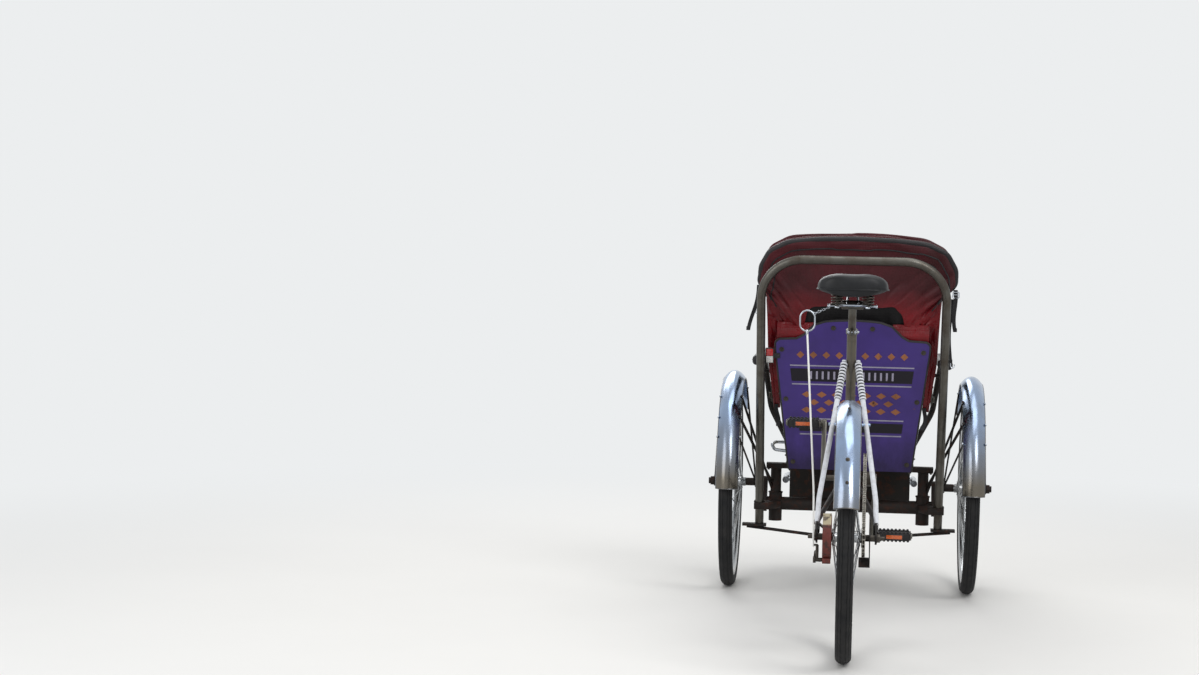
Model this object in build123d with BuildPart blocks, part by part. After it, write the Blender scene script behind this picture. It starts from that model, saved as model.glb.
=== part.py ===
from build123d import *
from math import asin, atan2, cos, degrees, hypot, radians, sin, tan
import os

os.makedirs("parts", exist_ok=True)

# Cycle rickshaw: one driven wheel behind, a two-wheeled passenger seat in front that steers as a whole.
# Millimetres. +X is the rider's right, +Y is forward, +Z is up, z = 0 is the ground.

# Wheels
WHEEL_R = 336.0
TYRE_HALF_W = 22.0
RIM_SEAT_R = 298.0
RIM_HALF_W = 16.0
RIM_INNER_R = 279.0
SPOKE_R = 1.2
SPOKE_COUNT = 36
FLANGE_X = 34.0
FLANGE_R = 24.0
WHEELBASE = 1320.0
HALF_TRACK = 380.0

# Fenders: crown radius and edge radius about the axle, half width, wall
REAR_FENDER = (368.0, 350.0, 32.0)
FRONT_FENDER = (359.0, 335.0, 34.0)
LEFT_FENDER_KNOCK = 4.0
FENDER_WALL = 2.0
REAR_FENDER_ARC = (35.0, 161.0)
FRONT_FENDER_ARC = (40.0, 178.0)

# Overall reach from the rear axle, which puts the origin in the middle of the length
FRONT_REACH = WHEELBASE + 440.0
REAR_REACH = REAR_FENDER[0] * cos(radians(180 - REAR_FENDER_ARC[1]))
REAR_Y = -(FRONT_REACH - REAR_REACH) / 2
FRONT_Y = REAR_Y + WHEELBASE
AXLE_Z = WHEEL_R

# Rider's frame
BB_Y = REAR_Y + 430.0
BB_Z = 450.0
BB_R = 21.0
BB_HALF_W = 34.0
SPINDLE_R = 8.0
SEAT_ANGLE = 72.0
SEAT_TUBE_R = 13.5
SEAT_TUBE_TOP_Z = 868.0
SEAT_POST_R = 11.0
SEAT_POST_TOP_Z = 955.0
MAIN_TUBE_R = 24.0
CHAIN_STAY_R = 7.0
SEAT_STAY_R = 7.0
DROPOUT_X = (76.0, 81.0)
REAR_AXLE_R = 6.0
REAR_AXLE_NUT_X = 91.0
REAR_AXLE_END = 102.0
BEARING_GAP = 0.05

# Steering head
PIVOT_Y = FRONT_Y - 40.0
BEAM_Z = 274.0
BEAM_R = 21.0
BEAM_END_X = 262.0
KINGPIN_R = 11.0
HEAD_R = 24.0
HEAD_Z = (215.5, 332.5)
YOKE_Z = (201.0, 347.0)
YOKE_ARM = 14.0
YOKE_BACK = (58.0, 70.0)

# Drive
CHAIN_X = 46.0
CHAIN_PITCH = 12.7
SPROCKET_TEETH = 24
RING_TEETH = 34
TOOTH_HALF_T = 1.3
CHAIN_INNER_X = 2.8
CHAIN_OUTER_X = 4.2
CHAIN_HALF_H = 4.2
CRANK_LENGTH = 165.0
CRANK_X = (66.0, 80.0)
CRANK_LEAN = 25.0
PEDAL_X = (84.0, 180.0)
PEDAL_LENGTH = 88.0
PEDAL_HEIGHT = 27.0
PEDAL_SPINDLE_R = 5.0

GUARD_X = (61.5, 64.0)

# Band brake on the left of the rear hub
DRUM_R = 58.0
DRUM_X = (-61.0, -39.0)
BAND_R = (60.0, 63.0)
BAND_X = (-62.5, -40.0)

# Passenger cart
STUB_R = 10.0
SPACER_R = 12.5
HUB_HALF_W = 48.0
BRACKET_X = (262.0, 286.0)
STUB_END_X = 452.0
POST_X = 234.0
POST_R = 17.0
POST_Z = (310.0, 388.0)
CAP_Z = 404.0
PUSH_BAR_R = 13.5
PUSH_BAR_X = 282.0
PUSH_BAR_Y = FRONT_Y - 95.0
PUSH_BAR_FOOT_Z = 214.0
PUSH_BAR_TOP_Z = 1062.0
PUSH_BAR_LEAN = 20.0
PUSH_BAR_BEND = 130.0
BACK_Y = FRONT_Y - 150.0
BACK_LEAN = 18.0
BASE_T = 16.0
BASE_HALF_W = 200.0
BASE_Y = (-149.0, 243.0)
SIDE_X = 188.0
SIDE_FLARE = 6.5
PANEL_T = 8.0
BACK_FOOT_Z = 398.0
FOOTWELL_Z = 262.0
CUSHION_T = 84.0
BACKREST_T = 64.0
ARMREST_X = 287.0
ARMREST_Z = 728.0
ARMREST_R = 9.5


def wheel_axis(x, y):
    return Axis((x, y, AXLE_Z), (1, 0, 0))


def radial_plane(x, y, z, angle):
    """Plane through an axle: sketch x runs along the axle, sketch y is the radius at an angle from +Y."""
    a = radians(angle)
    return Plane(origin=(x, y, z), x_dir=(1, 0, 0), z_dir=(0, -sin(a), cos(a)))


def leaning_plane(y, z, lean):
    """Upright plane across the vehicle that leans back: sketch y runs up it, its normal points rearward."""
    a = radians(lean)
    return Plane(origin=(0, y, z), x_dir=(1, 0, 0), z_dir=(0, -cos(a), -sin(a)))


def rod(start, end, radius, mode=Mode.ADD):
    run = Vector(*end) - Vector(*start)
    with BuildSketch(Plane(origin=start, z_dir=run)) as section:
        Circle(radius)
    extrude(section.sketch, amount=run.length, mode=mode)


def tube(points, radius, bends, mode=Mode.ADD):
    with BuildLine() as route:
        FilletPolyline(*points, radius=bends)
    with BuildSketch(Plane(origin=route.line @ 0, z_dir=route.line % 0)) as section:
        Circle(radius)
    sweep(section.sketch, path=route.line, mode=mode)


def hull_plate(discs, x_from, x_to, mode=Mode.ADD):
    """Flat plate across X whose outline wraps the given discs (y, z, radius)."""
    with BuildSketch(Plane.YZ.offset(x_from)) as outline:
        with BuildLine():
            for y, z, radius in discs:
                CenterArc((y, z), radius, 0, 360)
        make_hull()
    extrude(outline.sketch, amount=x_to - x_from, mode=mode)


def pitch_radius(teeth):
    return CHAIN_PITCH / (2 * sin(radians(180 / teeth)))


def toothed_disc(y, z, teeth, x_mid):
    """Sprocket blank: four points to a tooth, root to tip and back."""
    pitch_r = pitch_radius(teeth)
    step = 360 / teeth
    profile = ((0.0, pitch_r - 4.2), (0.28, pitch_r - 4.2), (0.5, pitch_r + 3.5), (0.78, pitch_r + 3.5))
    points = []
    for tooth in range(teeth):
        for share, radius in profile:
            a = radians((tooth + share - 0.14) * step)
            points.append((y + radius * cos(a), z + radius * sin(a)))
    with BuildSketch(Plane.YZ.offset(x_mid - TOOTH_HALF_T)) as blank:
        with BuildLine():
            Polyline(*points, close=True)
        make_face()
    extrude(blank.sketch, amount=2 * TOOTH_HALF_T)


def fender_shell(x, y, size, arc):
    crown_r, edge_r, half_w = size
    with BuildSketch(radial_plane(x, y, AXLE_Z, arc[0])) as section:
        with BuildLine():
            ThreePointArc((-half_w, edge_r), (0, crown_r), (half_w, edge_r))
            Line((half_w, edge_r), (half_w - FENDER_WALL, edge_r))
            ThreePointArc(
                (half_w - FENDER_WALL, edge_r), (0, crown_r - FENDER_WALL), (FENDER_WALL - half_w, edge_r)
            )
            Line((FENDER_WALL - half_w, edge_r), (-half_w, edge_r))
        make_face()
    revolve(section.sketch, axis=wheel_axis(x, y), revolution_arc=arc[1] - arc[0])


def on_fender(x, y, radius, angle):
    a = radians(angle)
    return (x, y + radius * cos(a), AXLE_Z + radius * sin(a))


# Wheels: name, x, y, axle radius, hub ends along the axle
WHEELS = (
    ("rear", 0.0, REAR_Y, REAR_AXLE_R, (DRUM_X[1], 40.0)),
    ("left", -HALF_TRACK, FRONT_Y, STUB_R, (-HUB_HALF_W, HUB_HALF_W)),
    ("right", HALF_TRACK, FRONT_Y, STUB_R, (-HUB_HALF_W, HUB_HALF_W)),
)

# Half section of the tyre from the bead out to the tread: axial, radius
TYRE_SECTION = ((RIM_HALF_W, RIM_SEAT_R), (TYRE_HALF_W, 317.0), (11.0, WHEEL_R))

for name, wx, wy, axle_r, hub_x in WHEELS:
    with BuildPart() as tyre:
        with BuildSketch(radial_plane(wx, wy, AXLE_Z, 90)):
            with BuildLine():
                left_half = [(-axial, radius) for axial, radius in reversed(TYRE_SECTION)]
                Polyline(*TYRE_SECTION, *left_half, close=True)
            make_face()
        revolve(axis=wheel_axis(wx, wy))
    tyre.part.label = f"{name}_tyre"
    export_step(tyre.part, f"parts/{name}_tyre.step")

    spoke_planes = []
    for spoke in range(SPOKE_COUNT):
        a = radians(spoke * 360 / SPOKE_COUNT)
        side = 1 if spoke % 2 else -1
        hub_end = Vector(wx + side * FLANGE_X, wy + 19 * cos(a), AXLE_Z + 19 * sin(a))
        rim_end = Vector(wx + side * 4, wy + 283 * cos(a), AXLE_Z + 283 * sin(a))
        spoke_planes.append(Plane(origin=hub_end, z_dir=rim_end - hub_end))
    spoke_length = (rim_end - hub_end).length

    with BuildPart() as rim:
        with BuildSketch(radial_plane(wx, wy, AXLE_Z, 90)):
            with BuildLine():
                Polyline(
                    (-RIM_HALF_W, RIM_SEAT_R), (RIM_HALF_W, RIM_SEAT_R), (RIM_HALF_W, 286),
                    (9, RIM_INNER_R), (-9, RIM_INNER_R), (-RIM_HALF_W, 286), close=True,
                )
            make_face()
        revolve(axis=wheel_axis(wx, wy))
        with BuildSketch(Plane.YZ.offset(wx + hub_x[0])):
            with Locations((wy, AXLE_Z)):
                Circle(14)
        extrude(amount=hub_x[1] - hub_x[0])
        with BuildSketch(Plane.YZ.offset(wx - FLANGE_X - 2), Plane.YZ.offset(wx + FLANGE_X - 2)):
            with Locations((wy, AXLE_Z)):
                Circle(FLANGE_R)
        extrude(amount=4)
        with BuildSketch(*spoke_planes):
            Circle(SPOKE_R)
        extrude(amount=spoke_length)
        with BuildSketch(Plane.YZ.offset(wx - 60)):
            with Locations((wy, AXLE_Z)):
                Circle(axle_r + BEARING_GAP)
        extrude(amount=120, mode=Mode.SUBTRACT)
    rim.part.label = f"{name}_rim"
    export_step(rim.part, f"parts/{name}_rim.step")

# Brake drum, a cup on the hub's left end
with BuildPart() as brake_drum:
    with BuildSketch(Plane.YZ.offset(DRUM_X[0])):
        with Locations((REAR_Y, AXLE_Z)):
            Circle(DRUM_R)
            Circle(DRUM_R - 5, mode=Mode.SUBTRACT)
    extrude(amount=DRUM_X[1] - DRUM_X[0])
    with BuildSketch(Plane.YZ.offset(DRUM_X[1] - 4)):
        with Locations((REAR_Y, AXLE_Z)):
            Circle(DRUM_R)
            Circle(REAR_AXLE_R + BEARING_GAP, mode=Mode.SUBTRACT)
    extrude(amount=4)
brake_drum.part.label = "brake_drum"
export_step(brake_drum.part, "parts/brake_drum.step")

# Rear sprocket on its freewheel core
with BuildPart() as rear_sprocket:
    toothed_disc(REAR_Y, AXLE_Z, SPROCKET_TEETH, CHAIN_X)
    with BuildSketch(Plane.YZ.offset(40)):
        with Locations((REAR_Y, AXLE_Z)):
            Circle(26)
    extrude(amount=8.5)
    with BuildSketch(Plane.YZ.offset(30)):
        with Locations((REAR_Y, AXLE_Z)):
            Circle(REAR_AXLE_R + BEARING_GAP)
    extrude(amount=30, mode=Mode.SUBTRACT)
rear_sprocket.part.label = "rear_sprocket"
export_step(rear_sprocket.part, "parts/rear_sprocket.step")

# Seat tube with the bottom bracket shell
seat_run = Vector(0, -cos(radians(SEAT_ANGLE)), sin(radians(SEAT_ANGLE)))
bb_centre = Vector(0, BB_Y, BB_Z)


def on_seat_tube(z):
    return bb_centre + seat_run * ((z - BB_Z) / seat_run.Z)


seat_top = on_seat_tube(SEAT_TUBE_TOP_Z)
seat_socket = on_seat_tube(SEAT_TUBE_TOP_Z - 90)

with BuildPart() as seat_tube:
    rod(bb_centre, seat_top, SEAT_TUBE_R)
    rod((-BB_HALF_W, BB_Y, BB_Z), (BB_HALF_W, BB_Y, BB_Z), BB_R)
    rod(seat_socket, on_seat_tube(SEAT_TUBE_TOP_Z + 5), SEAT_POST_R + BEARING_GAP, Mode.SUBTRACT)
    rod((-50, BB_Y, BB_Z), (50, BB_Y, BB_Z), SPINDLE_R + BEARING_GAP, Mode.SUBTRACT)
seat_tube.part.label = "seat_tube"
export_step(seat_tube.part, "parts/seat_tube.step")

# Main tube from the bottom bracket forward to the yoke that carries the kingpin
yoke_mid_z = (YOKE_Z[0] + YOKE_Z[1]) / 2
main_end = Vector(0, PIVOT_Y - YOKE_BACK[0] - 6, yoke_mid_z)
main_start = bb_centre + (main_end - bb_centre).normalized() * 12

with BuildPart() as main_tube:
    rod(main_start, main_end, MAIN_TUBE_R)
    with BuildSketch(Plane.XY.offset(YOKE_Z[0])):
        with Locations((0, PIVOT_Y - (YOKE_BACK[0] + YOKE_BACK[1]) / 2)):
            Rectangle(44, YOKE_BACK[1] - YOKE_BACK[0])
    extrude(amount=YOKE_Z[1] - YOKE_Z[0])
    with BuildSketch(Plane.XY.offset(YOKE_Z[0]), Plane.XY.offset(YOKE_Z[1] - YOKE_ARM)):
        with BuildLine():
            Polyline((22, PIVOT_Y), (22, PIVOT_Y - 64), (-22, PIVOT_Y - 64), (-22, PIVOT_Y))
            ThreePointArc((-22, PIVOT_Y), (0, PIVOT_Y + 22), (22, PIVOT_Y))
        make_face()
    extrude(amount=YOKE_ARM)
    rod((0, PIVOT_Y, 180), (0, PIVOT_Y, 360), KINGPIN_R + BEARING_GAP, Mode.SUBTRACT)
    rod((-BB_HALF_W, BB_Y, BB_Z), (BB_HALF_W, BB_Y, BB_Z), BB_R, Mode.SUBTRACT)
main_tube.part.label = "main_tube"
export_step(main_tube.part, "parts/main_tube.step")

with BuildPart() as kingpin:
    rod((0, PIVOT_Y, 184), (0, PIVOT_Y, YOKE_Z[1] + 2), KINGPIN_R)
    with BuildSketch(Plane.XY.offset(YOKE_Z[1]), Plane.XY.offset(YOKE_Z[0] - 12)):
        with Locations((0, PIVOT_Y)):
            RegularPolygon(18, 6)
    extrude(amount=12)
kingpin.part.label = "kingpin"
export_step(kingpin.part, "parts/kingpin.step")

# Chain stays, seat stays and dropouts
stay_top = on_seat_tube(790)
chain_stay_run = (Vector(0, REAR_Y, AXLE_Z) - bb_centre).normalized()


def chain_stay_route(side):
    root = bb_centre + chain_stay_run * 14
    knee = bb_centre + chain_stay_run * 100
    return (
        (side * 25.5, root.Y, root.Z),
        (side * 35, knee.Y, knee.Z),
        (side * 78.5, REAR_Y + 108, AXLE_Z + 30),
        (side * 78.5, REAR_Y + 30, AXLE_Z + 9),
    )


def seat_stay_route(side):
    return (
        (side * 18.5, stay_top.Y, stay_top.Z),
        (side * 76, REAR_Y + 66, 432),
        (side * 78.5, REAR_Y + 20, AXLE_Z + 36),
    )


with BuildPart() as chain_stays:
    for side in (-1, 1):
        tube(chain_stay_route(side), CHAIN_STAY_R, (120, 90))
        plate_x = (DROPOUT_X[0], DROPOUT_X[1]) if side > 0 else (-DROPOUT_X[1], -DROPOUT_X[0])
        discs = ((REAR_Y, AXLE_Z, 17), (REAR_Y + 36, AXLE_Z + 10, 10), (REAR_Y + 18, AXLE_Z + 30, 9))
        hull_plate(discs, *plate_x)
    rod((-90, REAR_Y, AXLE_Z), (90, REAR_Y, AXLE_Z), REAR_AXLE_R + BEARING_GAP, Mode.SUBTRACT)
    rod((-BB_HALF_W, BB_Y, BB_Z), (BB_HALF_W, BB_Y, BB_Z), BB_R, Mode.SUBTRACT)
chain_stays.part.label = "chain_stays"
export_step(chain_stays.part, "parts/chain_stays.step")

with BuildPart() as seat_stays:
    for side in (-1, 1):
        tube(seat_stay_route(side), SEAT_STAY_R, (150,))
        plate_x = (DROPOUT_X[0], DROPOUT_X[1]) if side > 0 else (-DROPOUT_X[1], -DROPOUT_X[0])
        discs = ((REAR_Y, AXLE_Z, 17), (REAR_Y + 36, AXLE_Z + 10, 10), (REAR_Y + 18, AXLE_Z + 30, 9))
        hull_plate(discs, *plate_x, Mode.SUBTRACT)
    rod(on_seat_tube(700), on_seat_tube(880), SEAT_TUBE_R, Mode.SUBTRACT)
seat_stays.part.label = "seat_stays"
export_step(seat_stays.part, "parts/seat_stays.step")

# Rear axle with its cones, spacers and nuts
SPACERS = ((-76.0, -61.5), (49.0, GUARD_X[0]), (GUARD_X[1], 76.0))
with BuildPart() as rear_axle:
    rod((-REAR_AXLE_NUT_X, REAR_Y, AXLE_Z), (REAR_AXLE_NUT_X, REAR_Y, AXLE_Z), REAR_AXLE_R)
    rod((-REAR_AXLE_END, REAR_Y, AXLE_Z), (REAR_AXLE_END, REAR_Y, AXLE_Z), REAR_AXLE_R - 0.5)
    for x_from, x_to in SPACERS:
        rod((x_from, REAR_Y, AXLE_Z), (x_to, REAR_Y, AXLE_Z), 9)
    with BuildSketch(Plane.YZ.offset(-DROPOUT_X[1] - 9), Plane.YZ.offset(DROPOUT_X[1])):
        with Locations((REAR_Y, AXLE_Z)):
            RegularPolygon(10, 6)
    extrude(amount=9)
rear_axle.part.label = "rear_axle"
export_step(rear_axle.part, "parts/rear_axle.step")

# Rear fender, clipped to the seat stays and bracketed to the seat tube
clip_z = 622.0
clip_share = (stay_top.Z - clip_z) / (stay_top.Z - 432)
clip_y = stay_top.Y + (REAR_Y + 66 - stay_top.Y) * clip_share
clip_x = 20 + 56 * clip_share
bracket_start = on_fender(0, REAR_Y, REAR_FENDER[0] - 1, 54)

with BuildPart() as rear_fender:
    fender_shell(0, REAR_Y, REAR_FENDER, REAR_FENDER_ARC)
    for side in (-1, 1):
        a = degrees(atan2(clip_z - AXLE_Z, clip_y - REAR_Y))
        rod(
            on_fender(side * (REAR_FENDER[2] - 1), REAR_Y, REAR_FENDER[1] + 1, a),
            (side * clip_x, clip_y, clip_z), 3,
        )
        tube(seat_stay_route(side), SEAT_STAY_R, (150,), Mode.SUBTRACT)
    rod(bracket_start, on_seat_tube(bracket_start[2] + 8), 5)
    rod(on_seat_tube(500), on_seat_tube(800), SEAT_TUBE_R, Mode.SUBTRACT)
rear_fender.part.label = "rear_fender"
export_step(rear_fender.part, "parts/rear_fender.step")

# Seat post with its clamp collar and head
post_top = on_seat_tube(SEAT_POST_TOP_Z)
with BuildPart() as seat_post:
    rod(on_seat_tube(SEAT_TUBE_TOP_Z - 85), post_top, SEAT_POST_R)
    rod(seat_top, on_seat_tube(SEAT_TUBE_TOP_Z + 12), SEAT_TUBE_R + 3)
    rod((-24, seat_top.Y - 15, SEAT_TUBE_TOP_Z + 4), (24, seat_top.Y - 15, SEAT_TUBE_TOP_Z + 4), 4)
    rod((-30, post_top.Y, post_top.Z - 6), (30, post_top.Y, post_top.Z - 6), 13)
seat_post.part.label = "seat_post"
export_step(seat_post.part, "parts/seat_post.step")

# Saddle: broad sprung rear, short nose
SADDLE_Y = REAR_Y + 215.0
SADDLE_REAR_Y = SADDLE_Y - 95
SADDLE_Z = (986.0, 1040.0)
SPRING_X = 42.0
SPRING_Y = SADDLE_Y - 55

with BuildPart() as saddle_cover:
    with BuildSketch(Plane.XY.offset(SADDLE_Z[0])):
        with BuildLine():
            ThreePointArc((-98, SADDLE_Y - 30), (0, SADDLE_REAR_Y), (98, SADDLE_Y - 30))
            Line((98, SADDLE_Y - 30), (26, SADDLE_Y + 95))
            Line((26, SADDLE_Y + 95), (20, SADDLE_Y + 165))
            ThreePointArc((20, SADDLE_Y + 165), (0, SADDLE_Y + 180), (-20, SADDLE_Y + 165))
            Line((-20, SADDLE_Y + 165), (-26, SADDLE_Y + 95))
            Line((-26, SADDLE_Y + 95), (-98, SADDLE_Y - 30))
        make_face()
    extrude(amount=SADDLE_Z[1] - SADDLE_Z[0])
    fillet(saddle_cover.faces().sort_by(Axis.Z)[-1].edges(), 16)
saddle_cover.part.label = "saddle_cover"
export_step(saddle_cover.part, "parts/saddle_cover.step")

# Saddle underframe: two coil springs, the wire that carries them and the nose rail
with BuildPart() as saddle_springs:
    for side in (-1, 1):
        rod((side * SPRING_X, SPRING_Y, 950), (side * SPRING_X, SPRING_Y, SADDLE_Z[0]), 4)
        for turn in range(4):
            with BuildSketch(Plane.XY.offset(951 + turn * 8.5)):
                with Locations((side * SPRING_X, SPRING_Y)):
                    Circle(16)
            extrude(amount=4)
        tube(
            ((side * SPRING_X, SPRING_Y, 949), (side * 16, SADDLE_Y + 20, 949),
             (side * 12, SADDLE_Y + 140, SADDLE_Z[0] - 4)),
            3.5, (60,),
        )
        rod((side * 12, SADDLE_Y + 136, SADDLE_Z[0] - 6), (side * 12, SADDLE_Y + 136, SADDLE_Z[0]), 4)
    rod((-SPRING_X - 24, SPRING_Y, 949), (SPRING_X + 24, SPRING_Y, 949), 3.5)
    rod((-30, post_top.Y, post_top.Z - 6), (30, post_top.Y, post_top.Z - 6), 13, Mode.SUBTRACT)
    rod(on_seat_tube(SEAT_TUBE_TOP_Z), post_top, SEAT_POST_R, Mode.SUBTRACT)
saddle_springs.part.label = "saddle_springs"
export_step(saddle_springs.part, "parts/saddle_springs.step")

# Band brake: band round the drum, its anchor on the chain stay, and the lever at the back
ROD_FOOT = (-80.0, REAR_Y - 34.0, 318.0)
with BuildPart() as brake_band:
    with BuildSketch(Plane.YZ.offset(BAND_X[0])):
        with Locations((REAR_Y, AXLE_Z)):
            Circle(BAND_R[1])
            Circle(BAND_R[0], mode=Mode.SUBTRACT)
    extrude(amount=BAND_X[1] - BAND_X[0])
    rod((-58, REAR_Y + 64, AXLE_Z + 14), (-80, REAR_Y + 96, AXLE_Z + 27), 4)
    rod((-58, REAR_Y - 30, AXLE_Z - 58), (-76, REAR_Y - 30, AXLE_Z - 58), 6)
    hull_plate(((REAR_Y - 30, AXLE_Z - 58, 8), (ROD_FOOT[1], ROD_FOOT[2], 6)), -78, -74)
    rod((-84, ROD_FOOT[1], ROD_FOOT[2]), (-74, ROD_FOOT[1], ROD_FOOT[2]), 3)
    tube(chain_stay_route(-1), CHAIN_STAY_R, (120, 90), Mode.SUBTRACT)
brake_band.part.label = "brake_band"
export_step(brake_band.part, "parts/brake_band.step")

# Brake pull rod with its hand ring, hung on the saddle's left spring
ROD_R = 2.6
ROD_X = -84.0 - ROD_R
HOOK_X = -SPRING_X - 20.5
RING_BOTTOM = (-120.0, REAR_Y + 112.0, 880.0)
ring_plane = Plane(origin=(-120, REAR_Y + 112, 908), x_dir=(1, 0, 0), z_dir=(0, -1, 0))
with BuildPart() as brake_pull_rod:
    tube(
        ((ROD_X, ROD_FOOT[1], ROD_FOOT[2] - 6), (ROD_X - 3, ROD_FOOT[1] + 34, 460), RING_BOTTOM),
        ROD_R, (900,),
    )
    with BuildLine(ring_plane) as ring:
        Line((-20, -8), (-20, 8))
        ThreePointArc((-20, 8), (0, 28), (20, 8))
        Line((20, 8), (20, -8))
        ThreePointArc((20, -8), (0, -28), (-20, -8))
    with BuildSketch(Plane(origin=ring.line @ 0, z_dir=ring.line % 0)) as ring_wire:
        Circle(2.2)
    sweep(ring_wire.sketch, path=ring.line)
    hook_start = (-104, REAR_Y + 112, 927)
    rod(hook_start, (HOOK_X, SPRING_Y - 4, 945.3), 1.8)
    with Locations(Plane(origin=(HOOK_X, SPRING_Y, 949), z_dir=(1, 0, 0))):
        Torus(5.4, 1.8)
brake_pull_rod.part.label = "brake_pull_rod"
export_step(brake_pull_rod.part, "parts/brake_pull_rod.step")

# Chain: two side plates round both sprockets, with every eighth roller on the straight runs
rear_r = pitch_radius(SPROCKET_TEETH)
ring_r = pitch_radius(RING_TEETH)
centre_gap = hypot(BB_Y - REAR_Y, BB_Z - AXLE_Z)
run_angle = atan2(BB_Z - AXLE_Z, BB_Y - REAR_Y)
run_spread = asin((ring_r - rear_r) / centre_gap)
ROLLER_START = 42.0
ROLLER_STEP = 8 * CHAIN_PITCH


def tangent_points(side):
    n = run_angle + side * (radians(90) + run_spread)
    return (
        Vector(REAR_Y + rear_r * cos(n), AXLE_Z + rear_r * sin(n)),
        Vector(BB_Y + ring_r * cos(n), BB_Z + ring_r * sin(n)),
    )


with BuildPart() as chain:
    for x_from in (CHAIN_X - CHAIN_OUTER_X, CHAIN_X + CHAIN_INNER_X):
        x_to = x_from + CHAIN_OUTER_X - CHAIN_INNER_X
        outer = ((REAR_Y, AXLE_Z, rear_r + CHAIN_HALF_H), (BB_Y, BB_Z, ring_r + CHAIN_HALF_H))
        inner = ((REAR_Y, AXLE_Z, rear_r - CHAIN_HALF_H), (BB_Y, BB_Z, ring_r - CHAIN_HALF_H))
        hull_plate(outer, x_from, x_to)
        hull_plate(inner, x_from, x_to, Mode.SUBTRACT)
    for side in (-1, 1):
        start, end = tangent_points(side)
        run = end - start
        count = int((run.length - 2 * ROLLER_START) / ROLLER_STEP) + 1
        places = [start + run.normalized() * (ROLLER_START + k * ROLLER_STEP) for k in range(count)]
        with BuildSketch(Plane.YZ.offset(CHAIN_X - CHAIN_INNER_X - 0.5)):
            with Locations(*[(p.X, p.Y) for p in places]):
                Rectangle(6, 6)
        extrude(amount=2 * CHAIN_INNER_X + 1)
chain.part.label = "chain"
export_step(chain.part, "parts/chain.step")

# Chain guard: a plate beside the lower run with a short lip at its tail, held on the axle; corners as y, z
guard_low = tangent_points(-1)
guard_slope = (guard_low[1].Y - guard_low[0].Y) / (guard_low[1].X - guard_low[0].X)


def guard_z(y):
    return guard_low[0].Y + guard_slope * (y - guard_low[0].X) - 13


GUARD_Y = (REAR_Y - 46.0, REAR_Y + 232.0)
GUARD_LIP_END = REAR_Y + 24.0
GUARD_TOP = ((232, 378), (122, 350), (62, 392), (-38, 392), (-58, 345))
with BuildPart() as chain_guard:
    edge = [(y, guard_z(y)) for y in (GUARD_Y[0], GUARD_LIP_END, GUARD_Y[1])]
    lip = [*edge[:2], *[(y, z + 2.5) for y, z in reversed(edge[:2])]]
    for x_from, outline in ((34.0, lip), (GUARD_X[0], [*edge, *[(REAR_Y + y, z) for y, z in GUARD_TOP]])):
        with BuildSketch(Plane.YZ.offset(x_from)):
            with BuildLine():
                Polyline(*outline, close=True)
            make_face()
        extrude(amount=GUARD_X[1] - x_from)
    rod((50, REAR_Y, AXLE_Z), (80, REAR_Y, AXLE_Z), REAR_AXLE_R + BEARING_GAP, Mode.SUBTRACT)
chain_guard.part.label = "chain_guard"
export_step(chain_guard.part, "parts/chain_guard.step")

# Cranks on their spindle, with the pedal spindles; the left one stands up and forward
crank_y = CRANK_LENGTH * sin(radians(CRANK_LEAN))
crank_z = CRANK_LENGTH * cos(radians(CRANK_LEAN))
with BuildPart() as crank_arms:
    rod((-CRANK_X[1], BB_Y, BB_Z), (CRANK_X[1], BB_Y, BB_Z), SPINDLE_R)
    for side in (-1, 1):
        eye_y = BB_Y - side * crank_y
        eye_z = BB_Z - side * crank_z
        arm_x = CRANK_X if side > 0 else (-CRANK_X[1], -CRANK_X[0])
        hull_plate(((BB_Y, BB_Z, 16), (eye_y, eye_z, 12)), *arm_x)
        rod((side * CRANK_X[0], eye_y, eye_z), (side * (PEDAL_X[1] - 4), eye_y, eye_z), PEDAL_SPINDLE_R)
crank_arms.part.label = "crank_arms"
export_step(crank_arms.part, "parts/crank_arms.step")

with BuildPart() as chainring:
    toothed_disc(BB_Y, BB_Z, RING_TEETH, CHAIN_X)
    with BuildSketch(Plane.YZ.offset(CHAIN_X - 5)):
        with Locations((BB_Y, BB_Z)):
            with PolarLocations(40, 5):
                Circle(13)
    extrude(amount=10, mode=Mode.SUBTRACT)
    with BuildSketch(Plane.YZ.offset(CHAIN_X - TOOTH_HALF_T)):
        with Locations((BB_Y, BB_Z)):
            Circle(21)
    extrude(amount=CRANK_X[0] - CHAIN_X + TOOTH_HALF_T)
    rod((30, BB_Y, BB_Z), (75, BB_Y, BB_Z), SPINDLE_R + BEARING_GAP, Mode.SUBTRACT)
chainring.part.label = "chainring"
export_step(chainring.part, "parts/chainring.step")

# Pedals: sleeve, end plates and two tread blocks
for name, side in (("left", -1), ("right", 1)):
    eye_y = BB_Y - side * crank_y
    eye_z = BB_Z - side * crank_z
    x_in = side * PEDAL_X[0]
    x_out = side * PEDAL_X[1]
    x_low = min(x_in, x_out)
    with BuildPart() as pedal:
        rod((x_in, eye_y, eye_z), (x_out, eye_y, eye_z), 9.5)
        with BuildSketch(Plane.YZ.offset(x_low)):
            with Locations((eye_y - 32, eye_z), (eye_y + 32, eye_z)):
                Rectangle(PEDAL_LENGTH - 64, PEDAL_HEIGHT)
        extrude(amount=PEDAL_X[1] - PEDAL_X[0])
        with BuildSketch(Plane.YZ.offset(x_low), Plane.YZ.offset(x_low + PEDAL_X[1] - PEDAL_X[0] - 4)):
            with Locations((eye_y, eye_z)):
                Rectangle(PEDAL_LENGTH, 17)
        extrude(amount=4)
        rod((x_in - side * 5, eye_y, eye_z), (x_out - side * 3.5, eye_y, eye_z),
            PEDAL_SPINDLE_R + BEARING_GAP, Mode.SUBTRACT)
    pedal.part.label = f"pedal_{name}"
    export_step(pedal.part, f"parts/pedal_{name}.step")

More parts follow.
